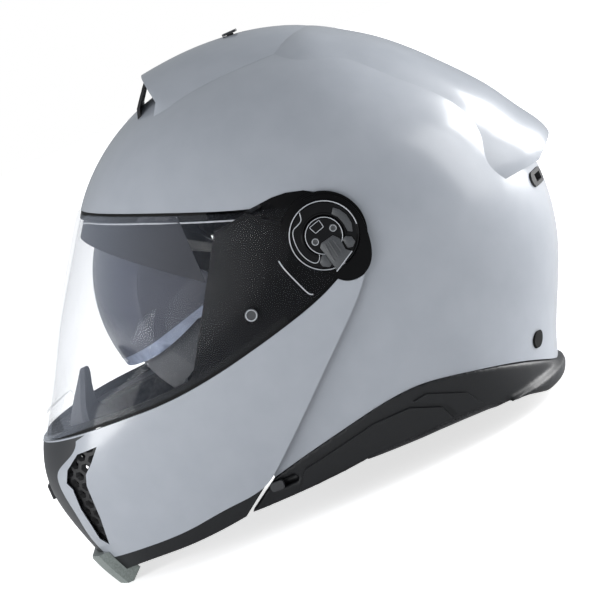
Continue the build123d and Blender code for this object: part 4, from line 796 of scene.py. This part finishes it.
def add_lens_pin(name, side):
    """The round pin on the visor's side, with a pale bead that paints the highlight on its rim."""
    visor_face = lateral_of("visor", *LENS_PIN, side)
    profile = [(radius, visor_face + rise) for radius, rise in LENS_PIN_PROFILE]
    pin = turned("lens_pin_" + name, profile, side, LENS_PIN, LENS_PIN_STEPS)
    finish_piece(pin, "lens_pins", "face_visor", "hub_grey")
    rim_path = arc(LENS_PIN, LENS_PIN_RIM_ARC, side * (visor_face + LENS_PIN_RIM_RISE))
    rim = bead("lens_pin_rim_highlight_" + name, rim_path, LENS_PIN_RIM_BEAD, closed=True)
    finish_piece(rim, None, "face_visor", "highlight_beads")


def add_hubs():
    for name, side in SIDES.items():
        add_visor_ring(name, side)
        add_visor_disc(name, side)
        add_release_lever(name, side)
        add_side_rib(name, side)
        add_pivot_tab(name, side)
        add_lens_pin(name, side)


def brow_height(x):
    for (x0, z0), (x1, z1) in zip(BROW_LINE, BROW_LINE[1:]):
        if x1 <= x <= x0:
            return z0 + (z1 - z0) * (x - x0) / (x1 - x0)
    return BROW_LINE[-1][1]


def add_brow():
    """A pale bead along the brow, behind the visor, which paints the highlight where the gasket bulges."""
    for name, side in SIDES.items():
        path = []
        for step in range(BROW_BEAD_STEPS):
            x = BROW_BEAD_START - BROW_BEAD_SPACING * step
            z = brow_height(x) - BROW_BEAD_DROP
            lateral = lateral_of("visor", x, z, side)
            if lateral is not None:
                path.append((x + BROW_BEAD_BACK, side * (lateral - BROW_BEAD_DEPTH), z))
        highlight_line = bead("brow_highlight_" + name, path, BROW_BEAD)
        finish_piece(highlight_line, None, "helmet", "highlight_beads")


def cut_piece(piece, plane):
    """Keeps what lies ahead of a plane."""
    place, normal = plane
    select_only(piece)
    bpy.ops.object.mode_set(mode="EDIT")
    bpy.ops.mesh.select_all(action="SELECT")
    bpy.ops.mesh.bisect(plane_co=place, plane_no=normal, clear_inner=True)
    bpy.ops.object.mode_set(mode="OBJECT")


def swell(piece, centre, reach_share, width_share):
    """A sheet that is turned about a lateral line grows away from it or shrinks to it, and sideways."""
    for vertex in piece.data.vertices:
        vertex.co.x = centre.x + (vertex.co.x - centre.x) * reach_share
        vertex.co.z = centre.z + (vertex.co.z - centre.z) * reach_share
        vertex.co.y *= width_share


def add_sun_visor_band():
    """A pale band along the sun visor's lower edge, which paints the highlight that the edge catches."""
    band = solid_copy("sun_visor", "sun_visor_highlight_band")
    swell(band, SUN_VISOR_PIVOT, BAND_REACH_SHARE, BAND_WIDTH_SHARE)
    cut_piece(band, BAND_CUT)
    finish_piece(band, None, "sun_lens", "edge_band_highlight")


def add_inner_brow():
    """The inner brow that the sun visor drops out of, with the sweep of the clear visor."""
    brow = solid_copy("visor", "inner_brow")
    swell(brow, PIVOT, INNER_BROW_REACH_SHARE, INNER_BROW_WIDTH_SHARE)
    cut_piece(brow, INNER_BROW_LOWER_CUT)
    cut_piece(brow, INNER_BROW_REAR_CUT)
    finish_piece(brow, None, "helmet", "brow_liner")


def add_port_lining():
    """The fabric lining on both sides of the eye port, with the sweep of the sun visor above it."""
    for name in SIDES:
        lining = solid_copy("sun_visor", "eye_port_lining_" + name)
        for vertex in lining.data.vertices:
            reach = vertex.co - SUN_VISOR_PIVOT
            reach = Vector((reach.x * LINING_SHARE, 0, reach.z * LINING_SHARE))
            reach.rotate(Matrix.Rotation(LINING_DROP_ANGLE, 3, "Y"))
            vertex.co = Vector((SUN_VISOR_PIVOT.x + reach.x, vertex.co.y * LINING_SHARE,
                                SUN_VISOR_PIVOT.z + reach.z))
        cut_piece(lining, LINING_CUTS[name])
        finish_piece(lining, None, "helmet", "port_lining")


def flare_share(x, shift, least):
    """How full the flare is at a place along the helmet, when it starts later by the shift."""
    return min(1.0, max(least, (x - REAR_TRIM_START - shift) / REAR_TRIM_BLEND))


def add_base_trim():
    """The base trim, with its flare at the back drawn out of one smooth sheet."""
    trim = solid_copy("base_trim", "base_trim_sheet")
    for vertex in trim.data.vertices:
        blend = flare_share(vertex.co.x, 0, 0)
        vertex.co.z += blend * REAR_TRIM_LIFT * max(0.0, 1 - vertex.co.z / REAR_TRIM_TOP)
    apply_modifier(trim, "REMESH", "even mesh", mode="VOXEL", voxel_size=TRIM_VOXEL)
    flare = trim.vertex_groups.new(name="flare")
    for vertex in trim.data.vertices:
        blend = flare_share(vertex.co.x, FLARE_SMOOTH_SHIFT, TRIM_SMOOTH_SHARE)
        flare.add([vertex.index], blend, "REPLACE")
    apply_modifier(trim, "SMOOTH", "soft flare", factor=0.5, iterations=FLARE_SMOOTH_STEPS,
                   vertex_group="flare")
    finish_piece(trim, "base_trim", "helmet", "trim_black", TRIM_SMOOTH_ANGLE)


def add_floor():
    """A white floor that takes the helmet's shadow: lit near the helmet, plain white far from it."""
    bpy.ops.object.select_all(action="DESELECT")
    bpy.ops.mesh.primitive_plane_add(size=FLOOR_SIZE, location=(0, 0, 0))
    floor = bpy.context.object
    floor.name = "floor"
    material, nodes, links, shader = new_material("white_floor", (0.90, 0.90, 0.90), 0.9)
    place = nodes.new("ShaderNodeTexCoord")
    reach = nodes.new("ShaderNodeVectorMath")
    reach.operation = "LENGTH"
    links.new(place.outputs["Object"], reach.inputs[0])
    glow = nodes.new("ShaderNodeMapRange")
    glow.inputs["From Min"].default_value = GLOW_NEAR_RADIUS
    glow.inputs["From Max"].default_value = GLOW_FAR_RADIUS
    glow.inputs["To Min"].default_value = GLOW_NEAR_STRENGTH
    glow.inputs["To Max"].default_value = GLOW_FAR_STRENGTH
    links.new(reach.outputs["Value"], glow.inputs["Value"])
    seen_glow = nodes.new("ShaderNodeMath")
    seen_glow.operation = "MULTIPLY"
    links.new(glow.outputs["Result"], seen_glow.inputs[0])
    links.new(backdrop_rays(nodes, links), seen_glow.inputs[1])
    shader.inputs["Emission Color"].default_value = WHITE
    links.new(seen_glow.outputs[0], shader.inputs["Emission Strength"])
    floor.data.materials.append(material)


aim_camera()
make_world()
MATERIALS = build_materials()
dress_nodes()
for soft_box in SOFT_BOXES:
    add_light(*soft_box)
add_floor()
add_padding()
add_straps()
add_hubs()
add_brow()
add_sun_visor_band()
add_inner_brow()
add_port_lining()
add_base_trim()

bpy.context.scene.view_settings.view_transform = "Standard"
